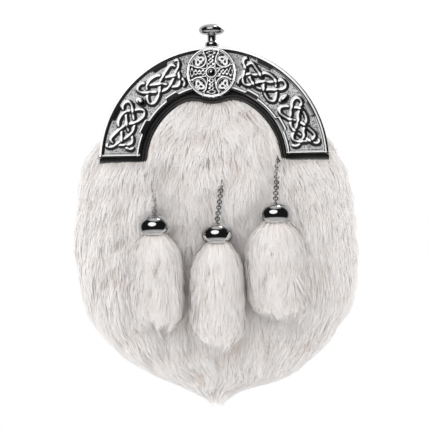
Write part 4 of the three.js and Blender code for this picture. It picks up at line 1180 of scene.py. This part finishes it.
def grow_tassel(tassel, count, seed):
    name = tassel["name"]
    long = tassel["length"]
    rows, columns = np.meshgrid(np.linspace(0, 0.9, 24), np.arange(36) * 2 * math.pi / 36, indexing="ij")
    core = tassel_spot(tassel, columns, rows, 0.0)
    faces = [grid_faces(24, 36, round_columns=True), *end_faces(24, 36)]
    made(f"tassel_core_{name}", [(core.reshape(-1, 3), faces)], UNDERWOOL, [f"tassel_{name}"])

    own = np.random.default_rng(seed)
    turn = own.uniform(0, 2 * math.pi, count)
    share = own.uniform(-0.03, 0.86, count)
    front = np.sin(turn) > -0.35
    thin = (own.random(count) < 0.45) & ~front
    turn, share = turn[~thin], share[~thin]
    side = turn * 15.0
    level = -share * long
    place, number = gathered(side, level, 3.4, seed + 1)
    big_place, big_number = gathered(side, level, 8.5, seed + 2)
    clump_turn = place[:, 0] / 15.0
    clump_share = -place[:, 1] / long
    length = (15 + own_values(number, seed + 3, -3, 4)) * own.uniform(0.75, 1.1, len(turn)) / long
    slant = 0.05 * np.cos(turn)
    limit = 0.985 + own_values(number, seed + 4, -0.14, 0.075) + own.uniform(-0.03, 0.03, len(turn)) + slant
    length = np.minimum(length, np.maximum(limit - share, 0.1))
    smooth_top = np.clip((share - 0.05) / 0.3, 0.1, 1)
    lean = own_values(number, seed + 5, -0.1, 0.1) + own_values(big_number, seed + 6, -0.12, 0.12) + own.normal(0, 0.1, len(turn))
    lean += 0.3 * drift(side, level, 17, seed + 12) * smooth_top
    tip_lift = 0.92 + (own_values(number, seed + 7, -0.16, 0.1) + own_values(big_number, seed + 8, -0.1, 0.08)) * smooth_top
    tip_lift += own.normal(0, 0.05, len(turn)) + 0.12 * drift(side, level, 12, seed + 13) * smooth_top
    pull = own_values(number, seed + 9, 0.05, 0.38) * smooth_top
    hollow = np.zeros(len(turn))
    for (across, down), (wide, tall), deep in tassel["hollows"]:
        aside = tassel["half"] * np.cos(turn) - across
        here = deep * np.exp(-((aside / wide) ** 2) - ((share * long - down) / tall) ** 2) * (np.sin(turn) > 0)
        lean -= 0.5 * here * np.sign(aside)
        hollow += here
    tip_lift -= 0.45 * hollow
    spots = np.zeros((len(turn), len(NODES), 3))
    away = np.zeros_like(spots)
    for k, node in enumerate(NODES):
        at_share = share + length * node
        drawn = pull * node**1.15
        at_share = at_share + (clump_share - share) * drawn * 0.7
        at_turn = turn + (clump_turn - turn) * drawn + lean * node * length * long / 15.0
        lift = tip_lift * (1 - (1 - node) ** 2.0) + 0.04
        spots[:, k] = tassel_spot(tassel, at_turn, at_share, lift)
        away[:, k] = unit(tassel_spot(tassel, at_turn, at_share, lift + 0.3) - tassel_spot(tassel, at_turn, at_share, lift - 0.3))
    # Painted shade in the tone: darker in patches and in the hollows; the rest varies at random
    painted_shade_patch = np.clip(drift(side, level, 11, seed + 14) - 0.85, 0, 1)
    tones = 0.55 + 0.1 * drift(side, level, 14, seed + 15) - 0.45 * painted_shade_patch * smooth_top - 0.6 * hollow
    tones += own_values(number, seed + 10, -0.06, 0.06) + own.normal(0, 0.08, len(turn))
    grown(f"tassel_hair_{name}", spots, away, own.uniform(0.2, 0.3, len(turn)), tones, start_tone=0.35, tilt=0.14)


for k, tassel in enumerate(TASSELS):
    grow_tassel(tassel, 14500, 100 * (k + 1))

# Studio

WHITE = (1.0, 1.0, 1.0, 1.0)


def studio_floor():
    mesh = bpy.data.meshes.new("floor")
    side = 2.2
    mesh.from_pydata([(-side, -side, -0.6), (side, -side, -0.6), (side, side, -0.6), (-side, side, -0.6)], [], [(0, 1, 2, 3)])
    f = new_finish("pale floor")
    mesh.materials.append(f.done(Base_Color=(0.9, 0.9, 0.9, 1), Roughness=0.8))
    floor = bpy.data.objects.new("floor", mesh)
    floor.visible_glossy = False
    bpy.context.scene.collection.objects.link(floor)


def surroundings():
    """White behind the object, and a dark room with a pale table in front of it."""
    world = bpy.data.worlds.new("studio")
    bpy.context.scene.world = world
    f = Finish(world)
    way = f.node("TexCoord", out=0)
    back = f.level(f.node("SeparateXYZ", None, {0: way}, out=1), 0.05, 0.35)
    height = f.level(f.node("SeparateXYZ", None, {0: way}, out=2), -1, 1)
    room = f.ramp(height, [(0.0, (0.3, 0.3, 0.3)), (0.12, (0.6, 0.6, 0.6)), (0.24, (0.42, 0.42, 0.42)), (0.3, (0.012, 0.012, 0.012)), (0.93, (0.012, 0.012, 0.012)), (0.98, (0.6, 0.6, 0.6))])
    shade = f.mixed(back, room, (0.55, 0.55, 0.55, 1))
    shade = f.mixed(f.node("LightPath", out=2), shade, (0.74, 0.74, 0.74, 1))
    colour = f.mixed(f.node("LightPath", out=0), shade, WHITE)
    light = f.node("Background", None, {"Color": colour, "Strength": 1.0})
    f.node("OutputWorld", None, {"Surface": light})


def softbox(name, place, size, power, shows=True, shape="RECTANGLE"):
    lamp = bpy.data.lights.new(name, "AREA")
    lamp.shape = shape
    lamp.size, lamp.size_y = size
    lamp.energy = power
    holder = bpy.data.objects.new(name, lamp)
    holder.location = place
    holder.rotation_euler = (Vector((0, 0, -0.05)) - Vector(place)).to_track_quat("-Z", "Y").to_euler()
    holder.visible_glossy = shows
    bpy.context.scene.collection.objects.link(holder)


def photo_camera():
    lens = bpy.data.cameras.new("camera")
    distance = 1.0
    lens.sensor_width = 36.0
    lens.lens = 36.0 * distance / (430 * 0.658 * MM)
    lens.clip_end = 20
    holder = bpy.data.objects.new("camera", lens)
    aim = Vector((0.0006, -0.020, -0.0349 - 0.025))
    yaw = math.radians(5.0)
    holder.location = aim + distance * Vector((math.sin(yaw), -math.cos(yaw), 0.0))
    look = (aim - holder.location).to_track_quat("-Z", "Y") @ Quaternion((0, 0, 1), -0.0157)
    holder.rotation_mode = "QUATERNION"
    holder.rotation_quaternion = look
    bpy.context.scene.collection.objects.link(holder)
    bpy.context.scene.camera = holder


studio_floor()
surroundings()
softbox("key softbox", (-0.36, -0.52, 1.1), (0.8, 1.3), 2.4, shows=False)
softbox("small lamp", (0.3, 0.2, 1.15), (0.2, 0.2), 1.0)
softbox("round lamp", (-0.26, -1.1, 0.62), (1.3, 1.0), 4.2, shape="ELLIPSE")
softbox("right fill", (1.2, -0.8, 0.1), (0.8, 0.8), 5.2, shows=False)
softbox("left fill", (-1.3, -0.5, 0.1), (0.8, 0.8), 5.5, shows=False)
softbox("rear softbox", (0.6, 1.2, 0.7), (0.9, 0.9), 12)
photo_camera()
bpy.context.scene.view_settings.view_transform = "Standard"
